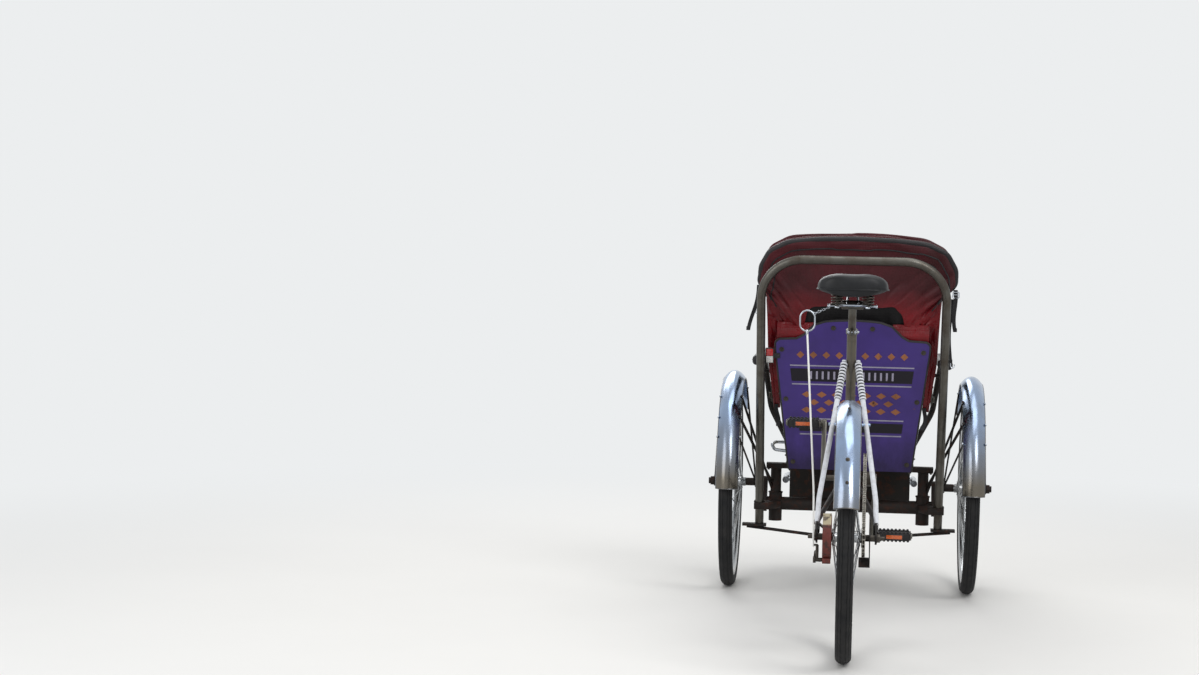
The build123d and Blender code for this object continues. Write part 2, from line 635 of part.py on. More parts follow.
# Axle beam with the steering head and the two capped posts that carry the seat
with BuildPart() as axle_beam:
    rod((-BEAM_END_X, PIVOT_Y, BEAM_Z), (BEAM_END_X, PIVOT_Y, BEAM_Z), BEAM_R)
    rod((0, PIVOT_Y, HEAD_Z[0]), (0, PIVOT_Y, HEAD_Z[1]), HEAD_R)
    for side in (-1, 1):
        rod((side * POST_X, PIVOT_Y, 219), (side * POST_X, PIVOT_Y, POST_Z[0]), POST_R + 4)
        rod((side * POST_X, PIVOT_Y, POST_Z[0]), (side * POST_X, PIVOT_Y, POST_Z[1]), POST_R)
        with BuildSketch(Plane.XY.offset(POST_Z[1])):
            with Locations((side * (POST_X - 10), PIVOT_Y)):
                Rectangle(82, 40)
        extrude(amount=CAP_Z - POST_Z[1])
    rod((0, PIVOT_Y, 200), (0, PIVOT_Y, 350), KINGPIN_R + BEARING_GAP, Mode.SUBTRACT)
axle_beam.part.label = "axle_beam"
export_step(axle_beam.part, "parts/axle_beam.step")

# Stub axles on their brackets
for name, side in (("left", -1), ("right", 1)):
    bracket = BRACKET_X if side > 0 else (-BRACKET_X[1], -BRACKET_X[0])
    hub_in = side * (HALF_TRACK - HUB_HALF_W - 0.5)
    with BuildPart() as stub_axle:
        hull_plate(((PIVOT_Y, BEAM_Z, 27), (FRONT_Y, AXLE_Z, 20)), *bracket)
        rod((side * BRACKET_X[1], FRONT_Y, AXLE_Z), (hub_in, FRONT_Y, AXLE_Z), SPACER_R)
        rod((side * BRACKET_X[1], FRONT_Y, AXLE_Z), (side * STUB_END_X, FRONT_Y, AXLE_Z), STUB_R)
        nut_x = 436.0 if side > 0 else -446.0
        with BuildSketch(Plane.YZ.offset(nut_x)):
            with Locations((FRONT_Y, AXLE_Z)):
                RegularPolygon(15, 6)
        extrude(amount=10)
    stub_axle.part.label = f"stub_axle_{name}"
    export_step(stub_axle.part, f"parts/stub_axle_{name}.step")

# Push bar: the bent tube behind the seat, with the gussets that join it to the beam
push_plane = leaning_plane(PUSH_BAR_Y, PUSH_BAR_FOOT_Z, PUSH_BAR_LEAN)
push_top = (PUSH_BAR_TOP_Z - PUSH_BAR_FOOT_Z) / cos(radians(PUSH_BAR_LEAN))
PUSH_CORNERS = ((-PUSH_BAR_X, -14), (-PUSH_BAR_X, push_top), (PUSH_BAR_X, push_top), (PUSH_BAR_X, -14))
with BuildPart() as push_bar:
    tube([push_plane.from_local_coords((x, v, 0)) for x, v in PUSH_CORNERS], PUSH_BAR_R,
         (PUSH_BAR_BEND, PUSH_BAR_BEND))
    split(bisect_by=Plane.XY.offset(PUSH_BAR_FOOT_Z), keep=Keep.TOP)
    with BuildSketch(Plane.XY.offset(BEAM_Z - 11)):
        for side in (-1, 1):
            with BuildLine():
                Polyline(
                    (side * 216, PIVOT_Y), (side * 261.5, PIVOT_Y), (side * 261.5, PIVOT_Y - 30),
                    (side * 299, PUSH_BAR_Y - 8), (side * 299, PUSH_BAR_Y - 42),
                    (side * 250, PUSH_BAR_Y - 42), (side * 216, PIVOT_Y - 40), close=True,
                )
            make_face()
    extrude(amount=22)
    rod((-300, PIVOT_Y, BEAM_Z), (300, PIVOT_Y, BEAM_Z), BEAM_R, Mode.SUBTRACT)
    for side in (-1, 1):
        rod((side * POST_X, PIVOT_Y, 210), (side * POST_X, PIVOT_Y, 320), POST_R + 4, Mode.SUBTRACT)
push_bar.part.label = "push_bar"
export_step(push_bar.part, "parts/push_bar.step")

# Foot lugs under the push bar and the tie rod that dips below the main tube
with BuildPart() as tie_rods:
    with BuildSketch(Plane.XY.offset(PUSH_BAR_FOOT_Z - 8)):
        with Locations((-298, PUSH_BAR_Y), (298, PUSH_BAR_Y)):
            Rectangle(76, 34)
    extrude(amount=8)
    tube(((-322, PUSH_BAR_Y, 204), (0, PUSH_BAR_Y, 172), (322, PUSH_BAR_Y, 204)), 5, (400,))
tie_rods.part.label = "tie_rods"
export_step(tie_rods.part, "parts/tie_rods.step")

# Seat base, standing on the posts
with BuildPart() as seat_base:
    with BuildSketch(Plane.XY.offset(CAP_Z)):
        with Locations((0, FRONT_Y + (BASE_Y[0] + BASE_Y[1]) / 2)):
            Rectangle(2 * BASE_HALF_W, BASE_Y[1] - BASE_Y[0])
    extrude(amount=BASE_T)
seat_base.part.label = "seat_base"
export_step(seat_base.part, "parts/seat_base.step")

# Seat sides, flared outward; outline as y from the front axle and height
BASE_TOP = CAP_Z + BASE_T
back_slope = tan(radians(BACK_LEAN))
back_plane = leaning_plane(BACK_Y, CAP_Z, BACK_LEAN)
flare = radians(SIDE_FLARE)


def back_y(z):
    return BACK_Y - (z - CAP_Z) * back_slope


for name, side in (("left", -1), ("right", 1)):
    side_plane = Plane(
        origin=(side * SIDE_X, FRONT_Y, BASE_TOP), x_dir=(0, side, 0), z_dir=(side * cos(flare), 0, -sin(flare))
    )
    SIDE_OUTLINE = (
        (back_y(BASE_TOP - 6) - 12 - FRONT_Y, BASE_TOP - 6), (back_y(716) - 12 - FRONT_Y, 716),
        (-120, 706), (70, 672), (205, 560), (240, 470), (240, BASE_TOP - 6),
    )
    with BuildPart() as side_panel:
        with BuildSketch(side_plane):
            with BuildLine():
                corners = [(side * y, (z - BASE_TOP) / cos(flare)) for y, z in SIDE_OUTLINE]
                Polyline(*corners, close=True)
            make_face()
        extrude(amount=PANEL_T)
        split(bisect_by=Plane.XY.offset(BASE_TOP), keep=Keep.TOP)
        split(bisect_by=back_plane, keep=Keep.BOTTOM)
    side_panel.part.label = f"side_panel_{name}"
    export_step(side_panel.part, f"parts/side_panel_{name}.step")

# Back panel: half outline as half width and distance up the lean
BACK_BOTTOM = (189, -14)
BACK_HALF = (BACK_BOTTOM, (236, 405), (236, 422), (226, 431), (172, 434), (150, 447), (118, 480), (84, 492))
with BuildPart() as back_panel:
    with BuildSketch(back_plane) as back_outline:
        with BuildLine():
            left_half = [(-x, v) for x, v in reversed(BACK_HALF)]
            Polyline((-BACK_BOTTOM[0], BACK_BOTTOM[1]), *BACK_HALF)
            ThreePointArc(BACK_HALF[-1], (0, 497), left_half[0])
            Polyline(*left_half)
        make_face()
    extrude(amount=10)
    split(bisect_by=Plane.XY.offset(BACK_FOOT_Z), keep=Keep.TOP)
back_panel.part.label = "back_panel"
export_step(back_panel.part, "parts/back_panel.step")

# Footwell: riser, floor, toe board and cheeks as one open tray
FOOT_OUTER = ((235, CAP_Z), (235, FOOTWELL_Z), (372, FOOTWELL_Z), (408, 396), (243, 396), (243, CAP_Z))
FOOT_INNER = ((243, 270), (366, 270), (402, 410), (243, 410))
with BuildPart() as footwell:
    for outline, half_w, mode in ((FOOT_OUTER, 198, Mode.ADD), (FOOT_INNER, 190, Mode.SUBTRACT)):
        with BuildSketch(Plane.YZ.offset(-half_w)):
            with BuildLine():
                Polyline(*[(FRONT_Y + y, z) for y, z in outline], close=True)
            make_face()
        extrude(amount=2 * half_w, mode=mode)
footwell.part.label = "footwell"
export_step(footwell.part, "parts/footwell.step")

# Seat cushion and backrest
with BuildPart() as cushion:
    with BuildSketch(Plane.XY.offset(BASE_TOP)):
        with Locations((0, FRONT_Y + 66)):
            RectangleRounded(360, 350, 30)
    extrude(amount=CUSHION_T)
    fillet(cushion.faces().sort_by(Axis.Z)[-1].edges(), 22)
cushion.part.label = "cushion"
export_step(cushion.part, "parts/cushion.step")

with BuildPart() as backrest:
    with BuildSketch(back_plane) as backrest_outline:
        with Locations((0, 282)):
            RectangleRounded(372, 340, 40)
    extrude(amount=-BACKREST_T)
    fillet(backrest.faces().sort_by(Axis.Y)[-1].edges(), 20)
backrest.part.label = "backrest"
export_step(backrest.part, "parts/backrest.step")

# Armrests: pad on a bent tube, which comes down to the seat side
for name, side in (("left", -1), ("right", 1)):
    foot = (side * 207, FRONT_Y + 215, 452)
    with BuildPart() as armrest:
        tube(
            ((side * ARMREST_X, FRONT_Y - 250, ARMREST_Z - 6), (side * ARMREST_X, FRONT_Y + 165, ARMREST_Z - 6),
             (side * (ARMREST_X - 22), FRONT_Y + 235, 560), foot),
            ARMREST_R, (60, 60),
        )
        rod((side * ARMREST_X, FRONT_Y - 140, ARMREST_Z - 24), (side * 222, FRONT_Y - 140, ARMREST_Z - 24), 6)
        rod((side * ARMREST_X, FRONT_Y - 140, ARMREST_Z - 28), (side * ARMREST_X, FRONT_Y - 140, ARMREST_Z - 6), 6)
        rod(foot, (side * 190, FRONT_Y + 215, 448), 7)
        side_face = Plane(
            origin=(side * SIDE_X, FRONT_Y, BASE_TOP), x_dir=(0, side, 0),
            z_dir=(side * cos(flare), 0, -sin(flare)),
        )
        with BuildSketch(side_face.offset(PANEL_T)):
            Rectangle(900, 900)
        extrude(amount=-60, mode=Mode.SUBTRACT)
        with BuildSketch(Plane.XY.offset(ARMREST_Z)):
            with Locations((side * ARMREST_X, FRONT_Y - 55)):
                RectangleRounded(46, 400, 14)
        extrude(amount=30, mode=Mode.SUBTRACT)
    armrest.part.label = f"armrest_{name}"
    export_step(armrest.part, f"parts/armrest_{name}.step")

    with BuildPart() as armrest_pad:
        with BuildSketch(Plane.XY.offset(ARMREST_Z)):
            with Locations((side * ARMREST_X, FRONT_Y - 55)):
                RectangleRounded(46, 400, 14)
        extrude(amount=30)
        fillet(armrest_pad.faces().sort_by(Axis.Z)[-1].edges(), 9)
    armrest_pad.part.label = f"armrest_pad_{name}"
    export_step(armrest_pad.part, f"parts/armrest_pad_{name}.step")

# Folded hood: an arch of gathered cloth that stands ahead of the push bar
HOOD_N = (-112.0, -22.0)
HOOD_OUTLINE = (
    (238, 300), (262, 300), (266, 566), (298, 588), (314, 612), (302, 660), (270, 706), (212, 738), (110, 748),
)
HOOD_INSIDE = ((110, 534), (148, 522), (158, 456), (188, 455), (191, 414), (238, 405))
LINING_N, LINING_V, LINING_HALF_W = (-40.0, -28.0), (455.0, 545.0), 166.0
with BuildPart() as hood_cover:
    with BuildSketch(back_plane.offset(HOOD_N[0])) as hood_outline:
        with BuildLine():
            right_side = (*HOOD_INSIDE, *HOOD_OUTLINE)
            left_side = [(-x, v) for x, v in reversed(right_side)]
            Polyline(*right_side, *left_side, close=True)
        make_face()
    extrude(amount=HOOD_N[1] - HOOD_N[0])
    # Lining that hangs down behind the back panel's top edge
    with BuildSketch(back_plane.offset(LINING_N[0])):
        with Locations((0, (LINING_V[0] + LINING_V[1]) / 2)):
            Rectangle(2 * LINING_HALF_W, LINING_V[1] - LINING_V[0])
    extrude(amount=LINING_N[1] - LINING_N[0])
hood_cover.part.label = "hood_cover"
export_step(hood_cover.part, "parts/hood_cover.step")

# Hood irons: the flat bars from the seat sides up to the folded bows
with BuildPart() as hood_irons:
    for side in (-1, 1):
        low = back_plane.from_local_coords((side * 250, 206, -66))
        high = back_plane.from_local_coords((side * 250, 300, -66))
        rod(low, high, 6)
        rod((side * 222, low.Y, low.Z + 8), (side * 256, low.Y, low.Z + 8), 7)
        side_face = Plane(
            origin=(side * SIDE_X, FRONT_Y, BASE_TOP), x_dir=(0, side, 0),
            z_dir=(side * cos(flare), 0, -sin(flare)),
        )
        with BuildSketch(side_face.offset(PANEL_T)):
            Rectangle(900, 900)
        extrude(amount=-60, mode=Mode.SUBTRACT)
hood_irons.part.label = "hood_irons"
export_step(hood_irons.part, "parts/hood_irons.step")

# Front fenders with their braces to the post and stays to the stub axle
for name, side in (("left", -1), ("right", 1)):
    fx = side * HALF_TRACK + (LEFT_FENDER_KNOCK if side < 0 else 0)
    inner_x = fx - side * (FRONT_FENDER[2] - 1)
    outer_x = fx + side * (FRONT_FENDER[2] - 1)
    edge_r = FRONT_FENDER[1] + 1
    with BuildPart() as front_fender:
        fender_shell(fx, FRONT_Y, FRONT_FENDER, FRONT_FENDER_ARC)
        for angle, z in ((138, 340), (122, 320)):
            rod(on_fender(inner_x, FRONT_Y, edge_r, angle), (side * POST_X, PIVOT_Y, z), 4)
        for angle in (60, 150):
            rod(on_fender(outer_x, FRONT_Y, edge_r, angle), (side * 432.75, FRONT_Y, AXLE_Z), 2.5)
            rod(on_fender(inner_x, FRONT_Y, edge_r, angle), (side * 300, FRONT_Y, AXLE_Z), 3)
        for x_from, hole, eye_t in ((430.0, STUB_R, 5.5), (297.0, SPACER_R, 6.0)):
            eye_x = x_from if side > 0 else -x_from - eye_t
            with BuildSketch(Plane.YZ.offset(eye_x)):
                with Locations((FRONT_Y, AXLE_Z)):
                    Circle(17)
            extrude(amount=eye_t)
            rod((side * (x_from - 6), FRONT_Y, AXLE_Z), (side * (x_from + 9), FRONT_Y, AXLE_Z),
                hole + BEARING_GAP, Mode.SUBTRACT)
        rod((side * POST_X, PIVOT_Y, 300), (side * POST_X, PIVOT_Y, POST_Z[1]), POST_R, Mode.SUBTRACT)
        rod((side * POST_X, PIVOT_Y, 219), (side * POST_X, PIVOT_Y, POST_Z[0]), POST_R + 4, Mode.SUBTRACT)
    front_fender.part.label = f"front_fender_{name}"
    export_step(front_fender.part, f"parts/front_fender_{name}.step")

# Front bumper bar round the footwell
BUMPER_R = 11.0
BUMPER_X = 198.0 + BUMPER_R + 3
bumper_y = REAR_Y + FRONT_REACH - BUMPER_R
with BuildPart() as bumper_bar:
    tube(
        ((-BUMPER_X, FRONT_Y + 262, 318), (-BUMPER_X, bumper_y, 318), (BUMPER_X, bumper_y, 318),
         (BUMPER_X, FRONT_Y + 262, 318)),
        BUMPER_R, (45, 45),
    )
    for side in (-1, 1):
        for y in (280, 340):
            rod((side * 198, FRONT_Y + y, 318), (side * BUMPER_X, FRONT_Y + y, 318), 6)
bumper_bar.part.label = "bumper_bar"
export_step(bumper_bar.part, "parts/bumper_bar.step")

# Reflector on the left of the back panel
with BuildPart() as reflector:
    with BuildSketch(back_plane.offset(10)):
        with Locations((-245, 379)):
            Rectangle(44, 16)
    extrude(amount=3)
    with BuildSketch(back_plane.offset(13)):
        with Locations((-255, 381)):
            RectangleRounded(26, 50, 4)
    extrude(amount=6)
reflector.part.label = "reflector"
export_step(reflector.part, "parts/reflector.step")
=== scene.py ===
from math import atan2, cos, pi, radians, sin, sqrt

import bpy
from mathutils import Matrix, Vector, noise


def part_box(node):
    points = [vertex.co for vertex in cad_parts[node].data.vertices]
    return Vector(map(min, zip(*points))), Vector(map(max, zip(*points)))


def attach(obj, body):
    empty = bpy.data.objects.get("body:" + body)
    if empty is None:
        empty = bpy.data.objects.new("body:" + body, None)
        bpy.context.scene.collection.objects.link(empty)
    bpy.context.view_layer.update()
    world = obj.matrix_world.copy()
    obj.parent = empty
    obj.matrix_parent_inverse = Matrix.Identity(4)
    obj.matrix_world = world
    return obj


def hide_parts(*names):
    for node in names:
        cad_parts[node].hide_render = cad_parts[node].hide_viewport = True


bl_info = {
    "name": "Cycle Rickshaw Dressing",
    "version": (1, 0, 0),
    "blender": (4, 5, 0),
    "location": "3D View > Sidebar > Rickshaw",
    "description": "Dresses the packed rickshaw frame with wheels, hood, seat, saddle and worn finishes",
    "category": "Object",
}

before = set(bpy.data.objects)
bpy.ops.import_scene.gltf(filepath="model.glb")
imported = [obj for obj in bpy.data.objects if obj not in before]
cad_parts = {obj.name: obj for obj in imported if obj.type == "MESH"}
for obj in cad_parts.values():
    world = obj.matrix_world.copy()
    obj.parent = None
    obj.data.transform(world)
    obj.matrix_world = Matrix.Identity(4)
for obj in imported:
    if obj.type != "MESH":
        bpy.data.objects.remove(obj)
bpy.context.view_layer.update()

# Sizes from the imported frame, in metres
TYRE_R = 0.336
REAR_AXLE = Vector((0.0, sum(v.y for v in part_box("rear_tyre")) / 2, TYRE_R))
FRONT_AXLE = Vector((0.0, sum(v.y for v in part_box("left_tyre")) / 2, TYRE_R))
HALF_TRACK = abs(sum(v.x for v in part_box("left_tyre")) / 2)
BB_CENTRE = Vector((0.0, REAR_AXLE.y + 0.430, 0.450))
PIVOT_Y = FRONT_AXLE.y - 0.040
BACK_ORIGIN = Vector((0.0, FRONT_AXLE.y - 0.150, 0.404))
BACK_LEAN = radians(18)
PUSH_ORIGIN = Vector((0.0, FRONT_AXLE.y - 0.095, 0.214))
PUSH_LEAN = radians(20)
SEAT_LEAN = radians(72)
# Heights of the seat stays' ends
STAY_TOP = 0.790
STAY_FOOT = 0.432
CRANK_LENGTH = 0.165
# How far forward of straight up and down the cranks stand
CRANK_TURN = radians(25)
BEAM_Z = 0.274
# From the middle to the posts on the beam, the legs of the push bar and the hood's pivots
POST_X = 0.234
PUSH_HALF = 0.282
HOOD_PIVOT_X = 0.247
SIDES = (("left", -1), ("right", 1))


def colour(code, alpha=1.0):
    """sRGB hex to the linear colour that Blender's sockets take. A colour picked in the panel is linear already."""
    if not isinstance(code, str):
        return tuple(code)
    channels = [int(code[i:i + 2], 16) / 255 for i in (1, 3, 5)]
    linear = [c / 12.92 if c <= 0.04045 else ((c + 0.055) / 1.055) ** 2.4 for c in channels]
    return (*linear, alpha)


def leaning_point(origin, lean, x, up, rearward):
    """A point given across, up the lean and out behind it."""
    return Vector((
        origin.x + x,
        origin.y - up * sin(lean) - rearward * cos(lean),
        origin.z + up * cos(lean) - rearward * sin(lean),
    ))


def back_point(x, up, rearward):
    return leaning_point(BACK_ORIGIN, BACK_LEAN, x, up, rearward)


def push_point(x, up, rearward):
    return leaning_point(PUSH_ORIGIN, PUSH_LEAN, x, up, rearward)


def seat_tube_point(z):
    """A point on the seat tube's line at a height."""
    run = (z - BB_CENTRE.z) / sin(SEAT_LEAN)
    return Vector((0.0, BB_CENTRE.y - run * cos(SEAT_LEAN), z))


BACK_OUT = back_point(0, 0, 1) - back_point(0, 0, 0)
BACK_UP = back_point(0, 1, 0) - back_point(0, 0, 0)


def clamp(value, low=0.0, high=1.0):
    return max(low, min(high, value))


def eased(t):
    return t * t * (3 - 2 * t)


def spread(low, span, count):
    """Even steps from a low value over a span, both ends in."""
    return [low + span * k / count for k in range(count + 1)]


def full_turn(count):
    """Angles of a full turn in even steps."""
    return [2 * pi * k / count for k in range(count)]


def polar(centre, x, radius, angle):
    """A point x to the side of a centre, at a radius and an angle above +Y."""
    return Vector((centre.x + x, centre.y + radius * cos(angle), centre.z + radius * sin(angle)))


def on_wheel(centre, x, radius, degrees):
    return polar(centre, x, radius, radians(degrees))


def mirrored(points):
    """Points (x, y) on the other side, in reverse, so that they carry an outline on."""
    return [(-x, y) for x, y in reversed(points)]


def wobble(x, y, z):
    return noise.noise(Vector((x, y, z)))


# Materials

BLACK, WHITE = (0, 0, 0, 1), (1, 1, 1, 1)


def feed(tree, socket, value):
    """Links a socket to an input, or sets the input to a value."""
    if isinstance(value, bpy.types.NodeSocket):
        tree.links.new(value, socket)
    else:
        socket.default_value = value


def add_node(tree, kind, links=(), **settings):
    """Adds a shader node, sets its properties and sockets, and links sockets from other nodes."""
    node = tree.nodes.new("ShaderNode" + kind)
    for name, value in settings.items():
        if hasattr(node, name):
            setattr(node, name, value)
        else:
            node.inputs[name.replace("_", " ")].default_value = value
    for source, target in links:
        tree.links.new(source, node.inputs[target])
    return node


def calculated(tree, operation, *values):
    """The result of a Math node whose inputs are sockets or numbers."""
    node = add_node(tree, "Math", operation=operation)
    for socket, value in zip(node.inputs, values):
        feed(tree, socket, value)
    return node.outputs[0]


class Look:
    """A new material with its node tree, its shader and the object's own coordinates."""

    def __init__(self, name, **sockets):
        self.material = bpy.data.materials.new(name)
        self.material.use_nodes = True
        self.tree = self.material.node_tree
        self.shader = self.tree.nodes["Principled BSDF"]
        for socket, value in sockets.items():
            self.shader.inputs[socket.replace("_", " ")].default_value = value
        self.place = add_node(self.tree, "TexCoord").outputs["Object"]

    def textured(self, kind, **settings):
        return add_node(self.tree, kind, links=[(self.place, "Vector")], **settings)

    def speckle(self, scale, detail=6.0, rough=0.6, squash=None):
        """Noise, drawn out where a squash is given."""
        node = self.textured("TexNoise", Scale=scale, Detail=detail, Roughness=rough)
        if squash:
            drawn = self.textured("Mapping", Scale=squash)
            self.tree.links.new(drawn.outputs["Vector"], node.inputs["Vector"])
        return node.outputs["Fac"]

    def height(self):
        return self.textured("SeparateXYZ").outputs["Z"]

    def uneven_height(self, wander, weight):
        return calculated(self.tree, "MULTIPLY_ADD", wander, weight, self.height())

    def ramp(self, source, low, high, dark=BLACK, light=WHITE):
        """Turns a value into a mask between two stops."""
        node = add_node(self.tree, "ValToRGB", links=[(source, "Fac")])
        for stop, position, shade in zip(node.color_ramp.elements, (low, high), (dark, light)):
            stop.position = position
            stop.color = shade
        return node.outputs["Color"]

    def blend(self, mask, first, second):
        node = add_node(self.tree, "MapRange", links=[(mask, "Value")], To_Min=first, To_Max=second)
        return node.outputs["Result"]

    def mix(self, mask, first, second, share=None):
        """Mixes two colours by a mask, of which only a share is taken where one is given."""
        if share is not None:
            mask = self.blend(mask, 0.0, share)
        node = add_node(self.tree, "Mix", data_type="RGBA")
        self.tree.links.new(mask, node.inputs[0])
        for socket, value in ((node.inputs[6], first), (node.inputs[7], second)):
            feed(self.tree, socket, value if isinstance(value, bpy.types.NodeSocket) else colour(value))
        return node.outputs[2]

    def paint(self, mask, first, second, share=None):
        self.tree.links.new(self.mix(mask, first, second, share), self.shader.inputs["Base Color"])

    def roughen(self, mask, low, high):
        self.tree.links.new(self.blend(mask, low, high), self.shader.inputs["Roughness"])

    def bumped(self, height, strength, distance):
        """Ends the material with its bump."""
        node = add_node(self.tree, "Bump", links=[(height, "Height")], Strength=strength, Distance=distance)
        self.tree.links.new(node.outputs["Normal"], self.shader.inputs["Normal"])
        return self.material


def worn_paint(name, paint, rust, wear_low, wear_high, roughness=0.45, grime="#1c1613"):
    """Oil paint brushed on mild steel: chips through to rust, dull grime in broad patches."""
    look = Look(name, Specular_IOR_Level=0.25)
    chips = look.ramp(look.speckle(38.0, 8.0, 0.7), wear_low, wear_high)
    patches = look.ramp(look.speckle(7.0, 4.0), 0.42, 0.68)
    dirty = look.mix(patches, paint, grime, 0.45)
    look.paint(chips, dirty, look.mix(look.speckle(160.0), rust, "#2a1712"))
    look.roughen(chips, roughness, 0.85)
    return look.bumped(look.speckle(90.0, 6.0), 0.25, 0.0008)


def splashed_paint(name, paint, chip, mud):
    """Gloss enamel on sheet: few chips, faint patches of grime, and road splash that thickens towards the foot."""
    look = Look(name, Specular_IOR_Level=0.25)
    streaks = look.speckle(26.0, 6.0, 0.7, (1, 1, 0.35))
    splash = look.ramp(look.uneven_height(streaks, 0.20), 0.50, 0.62, WHITE, BLACK)
    patches = look.ramp(look.speckle(7.0, 4.0), 0.42, 0.68)
    dirty = look.mix(splash, look.mix(patches, paint, "#251c3a", 0.35), mud, 0.72)
    look.paint(look.ramp(look.speckle(38.0, 8.0, 0.7), 0.67, 0.72), dirty, chip)
    look.roughen(splash, 0.30, 0.62)
    return look.bumped(look.speckle(90.0, 6.0), 0.2, 0.0006)


def chrome_plate(name, tint, haze, pitting, low_reflection_and_dust_tint=None, reflection_tide=(0.38, 0.58)):
    """Chromium on nickel: bright where it is wiped, hazed by road dust in patches, with fine pits. Where a low tint is
    given, the colour changes with height as a painted reflection: the tint above as sky, the low tint below as street,
    with road dust.
    """
    look = Look(name, Metallic=1.0)
    pits = look.ramp(look.speckle(420.0, 3.0, 0.7), pitting, pitting + 0.05)
    dust = look.ramp(look.speckle(11.0, 5.0), 0.35, 0.7)
    # Painted reflection by height: bluish sky above, darker warm grey of the street with road dust below
    base = look.mix(look.ramp(look.height(), *reflection_tide), low_reflection_and_dust_tint, tint) if low_reflection_and_dust_tint else tint
    look.paint(pits, look.mix(dust, base, "#6f675c", haze), "#3a2c22")
    look.roughen(dust, 0.15, 0.15 + haze * 0.6)
    return look.bumped(look.speckle(9.0, 2.0), 0.06, 0.002)


def dull_steel(name, tint, roughness, stain="#3b2d22"):
    """Bare drawn steel tube gone grey-brown: faint draw lines and oily stains."""
    look = Look(name, Metallic=1.0)
    stains = look.ramp(look.speckle(14.0, 7.0, 0.65), 0.45, 0.75)
    look.paint(stains, tint, stain, 0.75)
    look.roughen(stains, roughness, roughness + 0.25)
    return look.bumped(look.speckle(260.0, 4.0, squash=(1, 1, 0.12)), 0.12, 0.0004)


def worn_rubber(name, tint, dust_tint, dust):
    """Carbon-black rubber: matt, greyed by road dust, with a fine moulded grain."""
    look = Look(name, Specular_IOR_Level=0.25, Roughness=0.78)
    look.paint(look.ramp(look.speckle(26.0, 7.0, 0.7), 0.35, 0.8), tint, dust_tint, dust)
    return look.bumped(look.speckle(700.0, 3.0), 0.3, 0.0004)


def coated_cloth(name, cloth, shade, gloss, weave_mm=1.2, upper=None):
    """Vinyl-coated canvas: plain weave just showing, soft sheen on the folds, sun-faded patches."""
    look = Look(name, Roughness=gloss, Sheen_Weight=0.03, Specular_IOR_Level=0.26)
    faded = look.ramp(look.speckle(6.0, 4.0), 0.35, 0.7)
    tone = look.mix(faded, cloth, shade)
    if upper:
        # The last panel of the hood is dull canvas; the cloth below it is shiny vinyl
        canvas, edge = upper
        top = look.ramp(look.uneven_height(look.speckle(9.0), 0.06), *edge)
        tone = look.mix(top, tone, look.mix(faded, canvas, "#2e0c10"))
        look.roughen(top, gloss, gloss + 0.22)
    look.paint(look.speckle(240.0, 3.0), tone, shade, 0.25)
    # Ribs across and along, 2 pi times the weave apart
    scale = 1000 / weave_mm / 20
    ribs = [look.textured("TexWave", Scale=scale, bands_direction=axis).outputs["Fac"] for axis in "XZ"]
    weave = calculated(look.tree, "ADD", *ribs)
    return look.bumped(calculated(look.tree, "MULTIPLY_ADD", look.speckle(30.0, 4.0), 6.0, weave), 0.25, 0.0007)


def grained_leather(name, tint, worn, roughness):
    """Leathercloth: pebble grain of about 1 mm, polished where it is sat on."""
    look = Look(name, Specular_IOR_Level=0.28)
    polish = look.ramp(look.speckle(16.0, 4.0), 0.4, 0.7)
    look.paint(polish, tint, worn, 0.5)
    look.roughen(polish, roughness, roughness + 0.15)
    return look.bumped(look.textured("TexVoronoi", Scale=620.0).outputs["Distance"], 0.25, 0.0004)


def moulded_plastic(name, tint, roughness, scuff="#6b6660"):
    """Injection-moulded plastic: even colour with pale scuffs."""
    look = Look(name)
    scuffs = look.ramp(look.speckle(60.0, 8.0, 0.75, (1, 3, 1)), 0.58, 0.72)
    look.paint(scuffs, tint, scuff, 0.6)
    look.roughen(scuffs, roughness, roughness + 0.3)
    return look.bumped(look.speckle(500.0, 2.0), 0.1, 0.0003)


def pale_tape(name):
    """Cotton tape and old white gloss paint, yellowed in the grooves."""
    look = Look(name, Roughness=0.55)
    look.paint(look.ramp(look.speckle(70.0, 6.0), 0.45, 0.75), "#d6d8dd", "#827e7b", 0.42)
    return look.bumped(look.speckle(500.0, 3.0), 0.2, 0.0003)


def lens_plastic(name, tint):
    """Acrylic reflector lens: clear coloured plastic over prism cells of about 2 mm."""
    look = Look(name, Roughness=0.12, Coat_Weight=0.6)
    cells = look.textured("TexVoronoi", Scale=420.0).outputs["Distance"]
    look.paint(cells, tint, "#2a0d08", 0.5)
    return look.bumped(cells, 0.3, 0.0006)


def brake_paint_painted_highlight(name):
    """Brake band paint: brown-red oxide with a cream band on top as a painted highlight of the sky."""
    look = Look(name, Roughness=0.6)
    # Cream on the top of the band: a painted highlight of the sky
    top = look.ramp(look.uneven_height(look.speckle(45.0), 0.02), 0.382, 0.386)
    chips = look.ramp(look.speckle(55.0, 8.0, 0.7), 0.5, 0.58)
    look.paint(chips, look.mix(top, "#5f241b", "#a99d80"), "#2d1a14", 0.8)
    return look.bumped(look.speckle(120.0), 0.25, 0.0006)


FINISHES = {}


